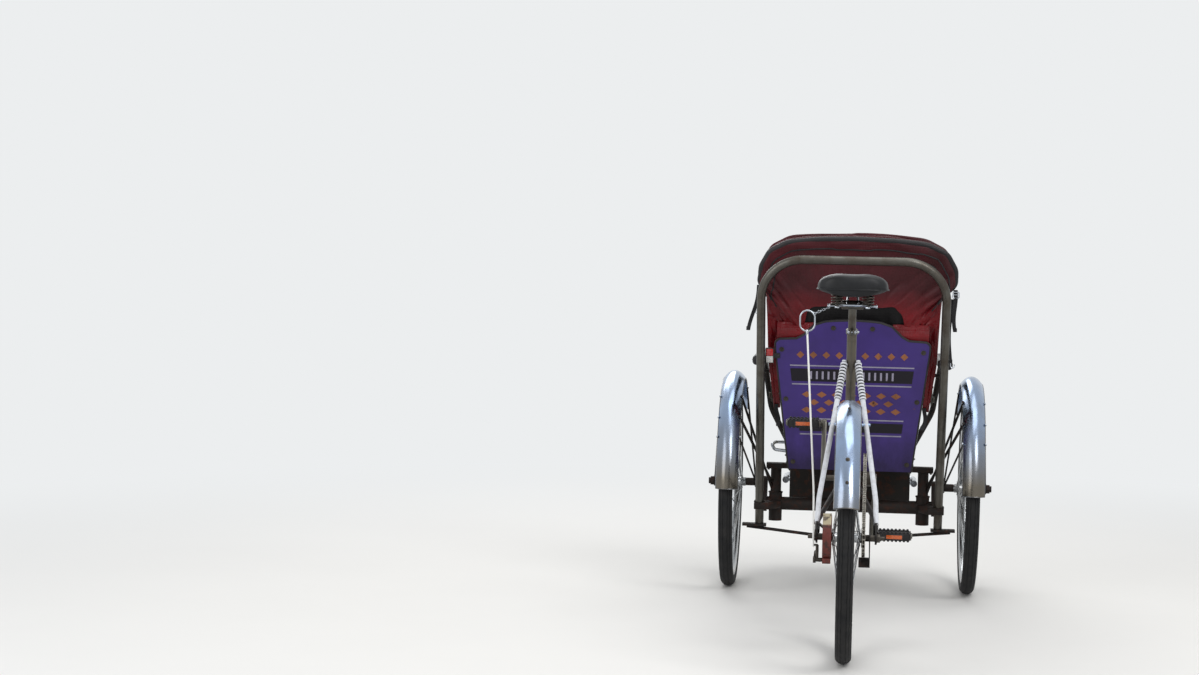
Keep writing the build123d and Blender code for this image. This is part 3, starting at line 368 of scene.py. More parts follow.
def make_finishes(settings):
    """All finishes by name, from the panel's colours."""
    FINISHES.update({
        "tyre_rubber": worn_rubber("Tyre rubber, vulcanised", "#18191b", "#4c4946", 0.30),
        "wheel_chrome": chrome_plate("Wheel chrome plate", "#9a9da0", 0.35, 0.66),
        "fender_chrome": chrome_plate("Fitting chrome plate", "#b4bac2", 0.3, 0.68),
        # The bluish tint is a painted sky reflection; the warm grey low tint is a painted street reflection with road
        # dust
        "guard_chrome_painted_reflection": chrome_plate("Mudguard chrome plate, painted sky and street reflection", "#93a7c4", 0.34, 0.66, "#6e6960"),
        # Darker chrome on the edge beads: a painted dark reflection along the mudguards' edges, with dust
        "edge_chrome_dark_reflection": chrome_plate("Mudguard edge, painted dark reflection, dusty", "#5f6369", 0.7, 0.60),
        "satin_steel": dull_steel("Push bar steel, drawn", "#5c5a55", 0.36),
        "frame_dark": worn_paint("Frame enamel, brushed black", "#191513", "#4a2a1c", 0.56, 0.66, 0.5),
        "beam_rust": worn_paint("Beam enamel over rust", "#1d1714", "#46291d", 0.50, 0.68, 0.62),
        "frame_white": pale_tape("Stay tape and white gloss"),
        "post_steel": dull_steel("Saddle tube steel, bare", "#625d54", 0.42, "#332b24"),
        "saddle_skin": grained_leather("Saddle leathercloth", "#0d0e10", "#1f2125", 0.40),
        "drive_steel": dull_steel("Bolt steel, oiled", "#4e4a45", 0.36, "#1a1410"),
        "chain_steel": dull_steel("Chain steel, run bright", "#a9a59c", 0.26, "#2b2620"),
        "drum_red": worn_paint("Drum oxide paint", "#5f241b", "#2b1b15", 0.55, 0.68, 0.6),
        # The band's cream top is a painted highlight
        "drum_cream": brake_paint_painted_highlight("Brake band paint, painted highlight on top"),
        "pedal_rubber": worn_rubber("Pedal rubber, moulded", "#202022", "#55514c", 0.3),
        "panel_purple": splashed_paint("Back panel enamel", settings.panel_colour, "#5a3b2d", "#1c1626"),
        "panel_dark": worn_paint("Panel band enamel", "#17141c", "#3d332c", 0.62, 0.7, 0.4),
        "panel_ochre": worn_paint("Panel lozenge enamel", "#8d5a3c", "#3e2a1d", 0.6, 0.7, 0.45),
        "panel_grey": worn_paint("Panel line enamel", "#8f8b9c", "#4a4652", 0.6, 0.72, 0.45),
        "seat_side": worn_paint("Side panel enamel, cream", "#b9b3a4", "#6a4630", 0.58, 0.68, 0.42, "#4b443a"),
        "seat_base_dark": worn_paint("Underframe enamel", "#1d1916", "#4e2f20", 0.52, 0.64, 0.6),
        "seat_cloth": coated_cloth("Cushion vinyl, backed", "#8a1c22", "#5e1318", 0.42),
        "hood_cloth": coated_cloth("Hood vinyl and canvas", settings.hood_colour, "#520a10", 0.27, 1.2,
                                   ("#46121a", (0.90, 1.08))),
        # Black cloth for the panel's lining, and for the sheet of painted shade under the hood
        "lining_and_shade_cloth": coated_cloth("Black lining, also painted shade under the hood", "#0c0b0c", "#161415", 0.6),
        "hood_edge": coated_cloth("Hood binding, grey", "#2c2a2c", "#1b191b", 0.5),
        "black_web": coated_cloth("Strap webbing", "#151416", "#2b2a2c", 0.7, 1.6),
        "pad_black": grained_leather("Armrest leathercloth", "#161416", "#2f2c2e", 0.42),
        "reflector_red": lens_plastic("Reflector lens, red", "#c3161a"),
        "reflector_orange": lens_plastic("Reflector lens, orange", "#d8621c"),
        "reflector_white": lens_plastic("Reflector lens, white", "#d9d9d6"),
        "black_plastic": moulded_plastic("Reflector back, moulded", "#161617", 0.4),
        "white_wire": moulded_plastic("Pull wire sleeve, white", "#e4e3df", 0.4, "#9a948a"),
        "floor_mat": worn_rubber("Footwell mat, ribbed rubber", "#2a2826", "#6a625a", 0.5),
    })


# Modelling helpers

def deselect():
    if bpy.context.object and bpy.context.object.mode != "OBJECT":
        bpy.ops.object.mode_set(mode="OBJECT")
    bpy.ops.object.select_all(action="DESELECT")


def pick(piece):
    deselect()
    piece.select_set(True)
    bpy.context.view_layer.objects.active = piece
    return piece


def baked(piece):
    """Puts the object's place into its mesh."""
    pick(piece)
    bpy.ops.object.transform_apply(location=True, rotation=True, scale=True)
    return piece


def loop(points, filled=False):
    """A closed loop of edges, or a face, through the points."""
    deselect()
    bpy.ops.mesh.primitive_circle_add(vertices=len(points), fill_type="NGON" if filled else "NOTHING")
    piece = bpy.context.object
    for vertex, point in zip(piece.data.vertices, points):
        vertex.co = point
    return piece


def edit_all(piece):
    pick(piece)
    bpy.ops.object.mode_set(mode="EDIT")
    bpy.ops.mesh.select_all(action="SELECT")


def outward():
    """Turns the normals out and leaves edit mode."""
    bpy.ops.mesh.normals_make_consistent(inside=False)
    bpy.ops.object.mode_set(mode="OBJECT")
    return bpy.context.object


def tidy_mesh(piece, merge=1e-5):
    edit_all(piece)
    bpy.ops.mesh.remove_doubles(threshold=merge)
    return outward()


def spun(outline, centre, steps, start=90.0, arc=360.0):
    """Spins a closed section of (x, radius) about an axle that runs along X, from an angle above +Y."""
    edit_all(loop([on_wheel(centre, x, r, start) for x, r in outline]))
    # A positive turn goes the other way with no window
    bpy.ops.mesh.spin(steps=steps, angle=-radians(arc), center=centre, axis=(1, 0, 0))
    bpy.ops.mesh.select_all(action="SELECT")
    bpy.ops.mesh.remove_doubles(threshold=1e-6)
    if arc < 360:
        bpy.ops.mesh.fill_holes(sides=0)
        bpy.ops.mesh.select_all(action="SELECT")
    return outward()


def rounded_route(points, bend, steps=8):
    """Corner points replaced by short arcs of a bend radius."""
    points = [Vector(p) for p in points]
    route = [points[0]]
    for before, corner, after in zip(points, points[1:], points[2:]):
        a = (before - corner).normalized()
        b = (after - corner).normalized()
        half = a.angle(b) / 2
        reach = min(bend / max(sin(half) / cos(half), 1e-4), (before - corner).length * 0.49,
                    (after - corner).length * 0.49)
        radius = reach * sin(half) / cos(half)
        middle = corner + (a + b).normalized() * (radius / sin(half))
        first = corner + a * reach - middle
        last = corner + b * reach - middle
        turn = first.angle(last)
        for k in range(steps + 1):
            t = k / steps
            route.append(middle + (first * sin((1 - t) * turn) + last * sin(t * turn)) / sin(turn))
    route.append(points[-1])
    return route


def swept(points, radius, bend=0.0, sides=4, closed=False, taper=None):
    """A round bar along a route; sides is the bevel resolution."""
    route = rounded_route(points, bend) if bend else [Vector(p) for p in points]
    curve = bpy.data.curves.new("route", "CURVE")
    curve.dimensions = "3D"
    spline = curve.splines.new("POLY")
    spline.points.add(len(route) - 1)
    for index, (place, point) in enumerate(zip(spline.points, route)):
        place.co = (*point, 1.0)
        if taper:
            place.radius = taper(index / (len(route) - 1))
    spline.use_cyclic_u = closed
    curve.bevel_depth = radius
    curve.bevel_resolution = sides
    curve.use_fill_caps = not closed
    piece = bpy.data.objects.new("bar", curve)
    bpy.context.scene.collection.objects.link(piece)
    pick(piece)
    bpy.ops.object.convert(target="MESH")
    return tidy_mesh(bpy.context.object, 1e-6)


def plate(points, direction, thickness, bevel=0.0):
    """A flat plate: a filled outline drawn out along a direction."""
    edit_all(loop(points, filled=True))
    bpy.ops.mesh.extrude_region_move(
        TRANSFORM_OT_translate={"value": Vector(direction).normalized() * thickness}
    )
    bpy.ops.mesh.select_all(action="SELECT")
    piece = outward()
    return softened(piece, bevel) if bevel else piece


def block(centre, size, bevel, segments=3):
    """A block with rounded edges."""
    deselect()
    bpy.ops.mesh.primitive_cube_add(size=1, location=centre)
    piece = bpy.context.object
    piece.scale = size
    baked(piece)
    return softened(piece, bevel, segments)


def turned(start, end, radius, corners=32, bevel=0.0):
    """A short round or hexagonal bar between two points."""
    start, end = Vector(start), Vector(end)
    run = end - start
    deselect()
    bpy.ops.mesh.primitive_cylinder_add(
        vertices=corners, radius=radius, depth=run.length, location=(start + end) / 2,
        rotation=run.to_track_quat("Z", "Y").to_euler(),
    )
    piece = baked(bpy.context.object)
    return softened(piece, bevel) if bevel else piece


def pin(centre, start, end, radius, corners=32, bevel=0.0):
    """A bar along X at a centre's depth and height."""
    return turned((start, centre.y, centre.z), (end, centre.y, centre.z), radius, corners, bevel)


def stud(foot, way, length, radius, corners=16, bevel=0.0):
    """A bar that stands on a point."""
    return turned(foot, foot + way * length, radius, corners, bevel)


def grid(columns, rows, place):
    """A grid whose points, from -1 to 1 both ways, are put in place."""
    deselect()
    bpy.ops.mesh.primitive_grid_add(x_subdivisions=columns, y_subdivisions=rows, size=2)
    piece = bpy.context.object
    for vertex in piece.data.vertices:
        vertex.co = place(vertex.co.x, vertex.co.y)
    return piece


def modified(piece, kind, **settings):
    """Adds a modifier with its settings and applies it."""
    pick(piece)
    modifier = piece.modifiers.new(kind.lower(), kind)
    for name, value in settings.items():
        setattr(modifier, name, value)
    bpy.ops.object.modifier_apply(modifier=modifier.name)
    return piece


def softened(piece, width, segments=2):
    return modified(piece, "BEVEL", width=width, segments=segments, limit_method="ANGLE",
                    angle_limit=radians(40))


def thickened(piece, thickness):
    return modified(piece, "SOLIDIFY", thickness=thickness, offset=0)


def joined(pieces):
    deselect()
    for piece in pieces:
        piece.select_set(True)
    bpy.context.view_layer.objects.active = pieces[0]
    if len(pieces) > 1:
        bpy.ops.object.join()
    return bpy.context.object


def coil(foot, top, radius, turns, wire):
    """A coil spring of round wire between two points."""
    foot, top = Vector(foot), Vector(top)
    run = top - foot
    across = run.cross(Vector((1, 0, 0))).normalized()
    along = across.cross(run).normalized()
    points = []
    for share in spread(0.0, 1.0, int(turns * 20)):
        a = 2 * pi * turns * share
        points.append(foot + run * share + (along * cos(a) + across * sin(a)) * radius)
    return swept(points, wire, sides=2)


def finished(piece, name, finish, body, replaces=(), smooth=40):
    """Names a piece, or a list joined to one, gives it finish and body, and hides the CAD nodes that it stands for.
    """
    if isinstance(piece, list):
        piece = joined(piece)
    piece.name = name
    piece.data.name = name
    piece.data.materials.clear()
    piece.data.materials.append(FINISHES[finish])
    if smooth:
        pick(piece)
        bpy.ops.object.shade_smooth_by_angle(angle=radians(smooth))
    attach(piece, body)
    if replaces:
        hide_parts(*replaces)
    return piece


def nuts(places, radius, height, washer=0.0):
    """Hexagon nuts at (point, direction) pairs, each on a washer where one is given."""
    made = []
    for point, direction in places:
        point, direction = Vector(point), Vector(direction).normalized()
        if washer:
            made.append(stud(point, direction, 0.0012, washer, 24))
        made.append(stud(point, direction, height, radius, 6, 0.0006))
        made.append(stud(point, direction, height + 0.003, radius * 0.5))
    return joined(made)


def weld_bead(centre, axis, radius, lump=0.0022):
    """A lumpy ring of weld round a tube."""
    centre, axis = Vector(centre), Vector(axis).normalized()
    side = axis.orthogonal().normalized()
    other = axis.cross(side)
    points = []
    for a in full_turn(40):
        wander = 1 + 0.03 * wobble(cos(a) * 3, sin(a) * 3, centre.z * 40)
        points.append(centre + (side * cos(a) + other * sin(a)) * radius * wander)
    return swept(points, lump, sides=2, closed=True)


# Wheels

WHEELS = (
    ("rear", REAR_AXLE, "rear_wheel", (-0.039, 0.040), 0.0061),
    ("left", FRONT_AXLE + Vector((-HALF_TRACK, 0, 0)), "left_front_wheel", (-0.048, 0.048), 0.0101),
    ("right", FRONT_AXLE + Vector((HALF_TRACK, 0, 0)), "right_front_wheel", (-0.048, 0.048), 0.0101),
)
TREAD_STEPS = 132
SPOKES = 36
SPOKE_LEAD = radians(58)


def tread_radius(x):
    return TYRE_R - 0.0095 * (abs(x) / 0.0195) ** 2.4


def make_tyre(name, centre, body):
    """A worn road tyre: round crown, four zigzag grooves, ribbed shoulder and a plain wall."""
    right = [(0.0145, 0.2965), (0.0165, 0.3005), (0.0195, 0.3065), (0.0217, 0.313), (0.0219, 0.3185),
             (0.0211, 0.3235), (0.0206, 0.3238), (0.0202, 0.3256), (0.0195, 0.3262)]
    for groove in (0.0142, 0.0068):
        for shift, depth in ((0.0011, 0.0), (0.0006, 0.0013), (-0.0006, 0.0013), (-0.0011, 0.0)):
            right.append((groove + shift, tread_radius(groove + shift) - depth))
        right.append((groove - 0.0036, tread_radius(groove - 0.0036)))
    tyre = spun(right + mirrored(right), centre, TREAD_STEPS)
    # Groove walls step sideways every other division, which gives the zigzag
    for vertex in tyre.data.vertices:
        offset = vertex.co - centre
        radius = sqrt(offset.y ** 2 + offset.z ** 2)
        if radius < 0.326 or radius > tread_radius(offset.x) - 0.0004 and abs(abs(offset.x) - 0.0105) > 0.0055:
            continue
        turn = int(round(atan2(offset.z, offset.y) / (2 * pi) * TREAD_STEPS))
        vertex.co.x += 0.0007 if turn % 2 else -0.0007
    finished(tyre, f"tyre_{name}", "tyre_rubber", body, (f"{name}_tyre",), 50)


def make_rim(name, centre, body):
    """A rolled steel rim with hooked edges, a valve and its nut."""
    half = [(0.0, 0.2782), (0.0055, 0.2786), (0.0112, 0.2805), (0.0152, 0.284), (0.0168, 0.289), (0.0176, 0.2965),
            (0.0186, 0.3003), (0.0178, 0.3022), (0.0158, 0.3018), (0.0149, 0.2990), (0.0148, 0.2930),
            (0.0085, 0.2905), (0.0, 0.2900)]
    up = Vector((0, 0, 1))
    made = [spun(half + mirrored(half[1:-1]), centre, 128),
            turned(centre + up * 0.2790, centre + up * 0.2480, 0.0026, 16, 0.0004),
            turned(centre + up * 0.2785, centre + up * 0.2745, 0.0058, 6)]
    finished(made, f"rim_{name}", "wheel_chrome", body, (f"{name}_rim",))


def make_spokes(name, centre, body):
    """Crossed wire spokes with their nipples, leading and trailing by turns on each flange."""
    made = []
    for index, out in enumerate(full_turn(SPOKES)):
        side = 1 if index % 2 else -1
        lead = SPOKE_LEAD if (index // 2) % 2 else -SPOKE_LEAD
        hub_end = polar(centre, side * (0.036 if lead > 0 else 0.0325), 0.0205, out + lead)
        rim_end = polar(centre, side * 0.0035, 0.2795, out)
        made.append(turned(hub_end, rim_end, 0.00105, 6))
        made.append(stud(rim_end, (hub_end - rim_end).normalized(), 0.012, 0.0021, 6))
        made.append(pin(hub_end, hub_end.x + side * 0.0018, hub_end.x - side * 0.0030, 0.0019, 6))
    finished(made, f"spokes_{name}", "wheel_chrome", body)


def make_hub(name, centre, body, ends, bore):
    """A turned steel hub: barrel waisted between two flanges, dust caps at its ends."""
    low, high = ends
    flange = [(0.026, 0.0128), (0.0318, 0.0150), (0.0322, 0.0232), (0.0335, 0.0240), (0.0355, 0.0240),
              (0.0368, 0.0232), (0.0372, 0.0142)]
    outline = [(low, bore), (low, 0.0125), (low + 0.003, 0.0142), *mirrored(flange), (0.0, 0.0118), *flange,
               (high - 0.0015, 0.0142), (high, 0.0125), (high, bore)]
    finished(spun(outline, centre, 48), f"hub_{name}", "wheel_chrome", body, (), 30)


def make_fender_skin(centre, half_w, crown, edge, arc):
    """Rolled sheet with a slight peen all over and a few knocks, and apart from it the beads of its rolled edges."""
    outer = []
    for k in range(17):
        x = half_w * (1 - k / 8)
        outer.append((x, crown - (crown - edge) * (abs(x) / half_w) ** 2.15))
    inner = [(x * (half_w - 0.0016) / half_w, r - 0.0016) for x, r in reversed(outer)]
    skin = spun(outer + inner, centre, 96, arc[0], arc[1] - arc[0])
    for vertex in skin.data.vertices:
        x, y, z = vertex.co
        dent = wobble(x * 30, y * 18, z * 18)
        knock = max(0.0, wobble(x * 9 + 7, y * 9, z * 9) - 0.42)
        vertex.co -= Vector((0, y - centre.y, z - centre.z)).normalized() * (0.0003 * dent + 0.0045 * knock)
    # The beads take the darker chrome, a painted dark reflection along the edges
    edges = []
    for side in (-1, 1):
        bead = [on_wheel(centre, side * (half_w - 0.0005), edge - 0.001, angle)
                for angle in spread(arc[0], arc[1] - arc[0], 80)]
        edges.append(swept(bead, 0.0020, sides=2))
    for angle in arc:
        edges.append(swept([on_wheel(centre, x, r - 0.0008, angle) for x, r in outer], 0.0017, sides=2))
    return skin, edges


def make_rear_fender():
    """Rear mudguard on its clips, with its bracket on the seat tube and the screws down its tail."""
    centre = REAR_AXLE
    skin, edges = make_fender_skin(centre, 0.032, 0.368, 0.350, (35, 161))
    made = [skin]
    clip_z = 0.622
    share = (STAY_TOP - clip_z) / (STAY_TOP - STAY_FOOT)
    for side in (-1, 1):
        clip = stay_point(side, share)
        fender_angle = atan2(clip_z - TYRE_R, clip.y - centre.y) * 180 / pi
        foot = on_wheel(centre, side * 0.031, 0.351, fender_angle)
        made.append(swept([foot + Vector((-side * 0.01, 0, 0.004)), foot, clip - Vector((side * 0.004, 0, 0))],
                          0.003, 0.006))
        made.append(turned(clip - Vector((side * 0.012, 0.006, 0)), clip + Vector((side * 0.011, 0, 0)), 0.0042, 6))
    start = on_wheel(centre, 0, 0.367, 54)
    made.append(swept([start, seat_tube_point(start.z + 0.008) - Vector((0, 0.012, 0))], 0.005))
    finished(made, "rear_fender_skin", "guard_chrome_painted_reflection", "rear_frame", ("rear_fender",), 35)
    finished(edges, "rear_fender_edges", "edge_chrome_dark_reflection", "rear_frame")
    screws = []
    for angle, size in ((106, 0.0044), (140, 0.0058), (150.5, 0.0048)):
        for low, high, radius, corners, bevel in ((0.3665, 0.3697, size, 20, 0.0012),
                                                  (0.3690, 0.3707, size * 0.45, 12, 0.0005)):
            screws.append(turned(on_wheel(centre, 0, low, angle), on_wheel(centre, 0, high, angle), radius, corners,
                                 bevel))
    finished(screws, "rear_fender_screws", "drive_steel", "rear_frame")


# How far a knock has moved the left mudguard inwards
FENDER_KNOCK = 0.004
# Sections of the rings that hold the wire stays on the stub axle
STAY_EYES = (
    ((0.430, 0.0101), (0.430, 0.0155), (0.431, 0.017), (0.4345, 0.017), (0.4355, 0.0155), (0.4355, 0.0101)),
    ((0.297, 0.0126), (0.297, 0.017), (0.303, 0.017), (0.303, 0.0126)),
)


def make_front_fenders():
    """Front mudguards with their bolts, braces and stays; the left one has been knocked inwards."""
    for name, side in SIDES:
        knock = FENDER_KNOCK if side < 0 else 0.0
        centre = FRONT_AXLE + Vector((side * HALF_TRACK + knock, 0, 0))
        skin, edges = make_fender_skin(centre, 0.034, 0.359, 0.335, (40, 178))
        finished(skin, f"front_fender_skin_{name}", "guard_chrome_painted_reflection", "cart",
                 (f"front_fender_{name}",), 35)
        finished(edges, f"front_fender_edges_{name}", "edge_chrome_dark_reflection", "cart")
        bolts = []
        for angle in (60, 122, 138, 150):
            for edge in (-1, 1):
                point = on_wheel(centre, edge * 0.0335, 0.338, angle)
                bolts.append(pin(point, point.x, point.x + edge * 0.0045, 0.0040, 16, 0.001))
        finished(bolts, f"front_fender_bolts_{name}", "fender_chrome", "cart")

        # Flat braces to the post and wire stays to the stub axle, all painted black
        stays = []
        for angle, z, size in ((138, 0.340, 0.0045), (122, 0.320, 0.004)):
            top = on_wheel(centre, -side * 0.033, 0.336, angle)
            post = Vector((side * (POST_X + 0.012), PIVOT_Y - 0.008, z))
            stays.append(swept([post, top, top - (centre - top) * 0.02], size, 0.01))
        for angle in (60, 150):
            for way, end, size in ((side, 0.43275, 0.0026), (-side, 0.300, 0.0030)):
                top = on_wheel(centre, way * 0.033, 0.336, angle)
                stays.append(swept([top, FRONT_AXLE + Vector((side * end, 0, 0))], size))
        for eye in STAY_EYES:
            stays.append(spun([(side * x, r) for x, r in eye], FRONT_AXLE, 32))
        finished(stays, f"fender_braces_{name}", "frame_dark", "cart")


# Saddle

SADDLE_REAR = REAR_AXLE.y + 0.120
SADDLE_LENGTH = 0.275
SADDLE_RIM = 0.995
# Share of the length from the rear, half width, top height, sag of the skirt
SADDLE_TABLE = (
    (0.00, 0.040, 1.026, 0.000), (0.05, 0.072, 1.035, 0.000), (0.13, 0.092, 1.039, 0.000),
    (0.24, 0.098, 1.038, 0.001), (0.38, 0.083, 1.034, 0.004), (0.52, 0.056, 1.031, 0.006),
    (0.66, 0.036, 1.031, 0.006), (0.80, 0.027, 1.032, 0.003), (0.92, 0.022, 1.030, 0.000),
    (1.00, 0.012, 1.020, 0.000),
)


def from_table(table, share, column):
    """Smooth value from a table whose first column is the share."""
    for low, high in zip(table, table[1:]):
        if share <= high[0]:
            t = clamp((share - low[0]) / (high[0] - low[0]))
            return low[column] + (high[column] - low[column]) * (eased(t) * 0.5 + t * 0.5)
    return table[-1][column]


def saddle_y(y):
    return SADDLE_REAR + SADDLE_LENGTH * (0.5 + 0.5 * (y * (1 + 0.08 * (1 - abs(y)))))


def make_saddle():
    """A broad mattress saddle: crowned top, skirt drawn in below, welt round the edge."""
    deselect()
    bpy.ops.mesh.primitive_uv_sphere_add(segments=56, ring_count=32, radius=1)
    cover = bpy.context.object
    for vertex in cover.data.vertices:
        x, y, z = vertex.co
        share = clamp((y + 1) / 2)
        width, crown, sag = (from_table(SADDLE_TABLE, share, column) for column in (1, 2, 3))
        ring = sqrt(max(1e-6, 1 - y * y))
        across, upward = x / ring, z / ring
        ends = min(1.0, ring * 2.4) ** 0.6
        if upward >= 0:
            height = SADDLE_RIM + (crown - SADDLE_RIM) * upward ** 0.66
            height -= sag * abs(across) + 0.0030 * max(0.0, 1 - abs(across) * 3.2) * ends
            narrow = 1.0
        else:
            height = SADDLE_RIM + (0.012 + 0.010 * max(0.0, 1 - 2 * share)) * upward
            narrow = 1 + 0.16 * upward
        reach = abs(across) ** 0.72 * (1 if across >= 0 else -1)
        vertex.co = Vector((reach * width * ends * narrow, saddle_y(y),
                            SADDLE_RIM + (height - SADDLE_RIM) * (0.35 + 0.65 * ends)))
    tidy_mesh(cover)
    modified(cover, "SUBSURF", levels=1, render_levels=1)
    finished(cover, "saddle_skin", "saddle_skin", "rear_frame", ("saddle_cover",), 60)

    welt = []
    for a in full_turn(96):
        y = sin(a)
        ends = min(1.0, abs(cos(a)) * 2.4) ** 0.6
        reach = from_table(SADDLE_TABLE, (y + 1) / 2, 1) * ends + 0.0004
        welt.append((reach if cos(a) >= 0 else -reach, saddle_y(y), SADDLE_RIM - 0.0005))
    finished(swept(welt, 0.0021, sides=2, closed=True), "saddle_welt", "saddle_skin", "rear_frame")


def make_saddle_springs():
    """Two coils on their cups in dark steel as painted shade under the saddle, with the chromed cross wire and rails
    that carry the saddle.
    """
    coils, wires = [], []
    rail = Vector((0, REAR_AXLE.y + 0.160, 0.949))
    up = Vector((0, 0, 1))
    for side in (-1, 1):
        x = side * 0.042
        foot = Vector((x, rail.y, 0))
        coils.append(coil(foot + up * 0.9515, foot + up * 0.9845, 0.0145, 4.25, 0.0024))
        for z in (0.9495, 0.9838):
            coils.append(stud(foot + up * z, up, 0.0018, 0.0172, 28, 0.0005))
        coils.append(stud(foot + up * 0.9435, up, 0.0400, 0.0034, 12))
        wires.append(stud(foot + up * 0.9430, up, 0.0050, 0.0072, 6, 0.0006))
        wires.append(pin(rail, side * 0.063, side * 0.068, 0.0048, 16, 0.001))
        wires.append(swept([(x, rail.y, rail.z), (side * 0.016, REAR_AXLE.y + 0.235, rail.z),
                            (side * 0.012, REAR_AXLE.y + 0.355, 0.983)], 0.0034, 0.05))
    cross = [(x, rail.y, z) for x, z in ((-0.066, 0.949), (-0.030, 0.9515), (0.030, 0.9515), (0.066, 0.949))]
    wires.append(swept(cross, 0.0034, 0.02))
    finished(wires, "saddle_wires", "fender_chrome", "rear_frame", ("saddle_springs",))
    # Dark steel on the coils stands for the shade under the saddle
    finished(coils, "saddle_coils_painted_shade", "drive_steel", "rear_frame")


def make_seat_post():
    """Seat post, its head clamp and the split collar with its bolt."""
    top = seat_tube_point(0.952)
    made = [swept([seat_tube_point(0.800), top], 0.011, sides=6)]
    head = top - Vector((0, 0, 0.003))
    made.append(pin(head, -0.030, 0.030, 0.0128, 32, 0.0015))
    for side in (-1, 1):
        made.append(pin(head, side * 0.030, side * 0.0365, 0.0075, 6, 0.0006))
    collar = seat_tube_point(0.868)
    lift = (seat_tube_point(0.880) - collar).normalized()
    made.append(stud(collar, lift, 0.0125, 0.0165, 36, 0.001))
    ear = collar + lift * 0.006 + Vector((0, -0.0185, 0))
    for side in (-1, 1):
        made.append(block(ear + Vector((side * 0.0042, 0, 0)), (0.0045, 0.016, 0.014), 0.001, 2))
    finished(made, "seat_post_steel", "satin_steel", "rear_frame", ("seat_post",))
    ear.y -= 0.002
    bolt = [pin(ear, -0.014, 0.020, 0.0031, 16, 0.0006), pin(ear, 0.0065, 0.0115, 0.0062, 6, 0.0006),
            pin(ear, -0.0115, -0.0065, 0.0060, 16, 0.0016)]
    finished(bolt, "seat_collar_bolt", "fender_chrome", "rear_frame")


# Rider's frame

def stay_point(side, share):
    """A point on a seat stay, from its top down to its foot."""
    top_y = seat_tube_point(STAY_TOP).y
    return Vector((side * (0.0185 + 0.0575 * share), top_y + (REAR_AXLE.y + 0.066 - top_y) * share,
                   STAY_TOP + (STAY_FOOT - STAY_TOP) * share))


def make_stays():
    """Windings of white tape spaced over a dark underlayer, near the top of the white gloss seat stays."""
    made, core = [], []
    for side in (-1, 1):
        top = stay_point(side, 0)
        run = (stay_point(side, 1) - top).normalized()
        core.append(stud(top + run * 0.006, run, 0.1215, 0.0078, 24, 0.0004))
        for k in range(12):
            made.append(stud(top + run * (0.0079 + k * 0.0102), run, 0.0062, 0.0098, 24, 0.0020))
    finished(made, "stay_tape_turns", "frame_white", "rear_frame")
    finished(core, "stay_tape_underlayer", "black_web", "rear_frame", (), 60)


def make_frame_fittings():
    """Axle nuts, weld beads at the joints of the tubes and the cups of the bottom bracket."""
    ends = [(REAR_AXLE + Vector((side * 0.081, 0, 0)), (side, 0, 0)) for side in (-1, 1)]
    made = [nuts(ends, 0.0112, 0.0088, 0.0135)]
    made += [pin(REAR_AXLE, side * 0.090, side * 0.102, 0.0055, 24, 0.0008) for side in (-1, 1)]
    finished(made, "rear_axle_nuts", "drive_steel", "rear_frame")

    beads = [weld_bead(seat_tube_point(0.4735), seat_tube_point(1.0) - seat_tube_point(0.5), 0.0145)]
    main_run = (Vector((0, PIVOT_Y - 0.064, BEAM_Z)) - BB_CENTRE).normalized()
    beads.append(weld_bead(BB_CENTRE + main_run * 0.0235, main_run, 0.0245))
    beads.append(weld_bead(Vector((0, PIVOT_Y - 0.0715, 0.2755)), main_run, 0.0242))
    beads += [pin(BB_CENTRE, side * 0.0335, side * 0.0375, 0.0195, 40, 0.001) for side in (-1, 1)]
    finished(beads, "frame_joints", "frame_dark", "rear_frame")


def make_brake():
    """Band round the drum, its lever with the return spring and the anchor bolt, and the drum itself."""
    centre = REAR_AXLE
    band = [(-0.0625, 0.0602), (-0.0625, 0.0625), (-0.0618, 0.0631), (-0.0580, 0.0624), (-0.0445, 0.0624),
            (-0.0407, 0.0631), (-0.0400, 0.0625), (-0.0400, 0.0602)]
    made = [spun(band, centre, 72), block(centre + Vector((-0.051, -0.030, -0.060)), (0.022, 0.020, 0.014), 0.0012, 2)]
    # The band's cream top is a painted highlight
    finished(made, "brake_band_skin", "drum_cream", "rear_frame", ("brake_band",))

    foot = Vector((-0.080, centre.y - 0.034, 0.318))
    low = Vector((-0.076, centre.y - 0.030, TYRE_R - 0.058))
    anchor = Vector((-0.080, centre.y + 0.096, TYRE_R + 0.027))
    fittings = [
        swept([low, foot + Vector((0.004, 0, 0))], 0.0042),
        pin(low, -0.0620, -0.0835, 0.0055, 20, 0.0006),
        pin(low, -0.0790, -0.0865, 0.0090, 6, 0.0006),
        pin(foot, -0.0740, -0.0840, 0.0030, 12),
        swept([(-0.058, centre.y + 0.064, TYRE_R + 0.014), anchor], 0.004),
        pin(anchor, -0.079, -0.090, 0.0070, 6, 0.0006),
        coil(low + Vector((-0.004, 0.006, 0.010)), (-0.080, centre.y + 0.020, 0.292), 0.0042, 11, 0.0009),
    ]
    finished(fittings, "brake_lever_set", "drive_steel", "rear_frame")

    drum = [(-0.061, 0.0535), (-0.061, 0.0578), (-0.0600, 0.0583), (-0.0575, 0.0583), (-0.0565, 0.0572),
            (-0.0440, 0.0572), (-0.0430, 0.0583), (-0.0400, 0.0583), (-0.0390, 0.0578), (-0.0390, 0.0062),
            (-0.0430, 0.0062), (-0.0440, 0.0300), (-0.0435, 0.0500), (-0.0450, 0.0535)]
    finished(spun(drum, centre, 72), "brake_drum_shell", "drum_red", "rear_wheel", ("brake_drum",))


HOOK_LINKS = 7


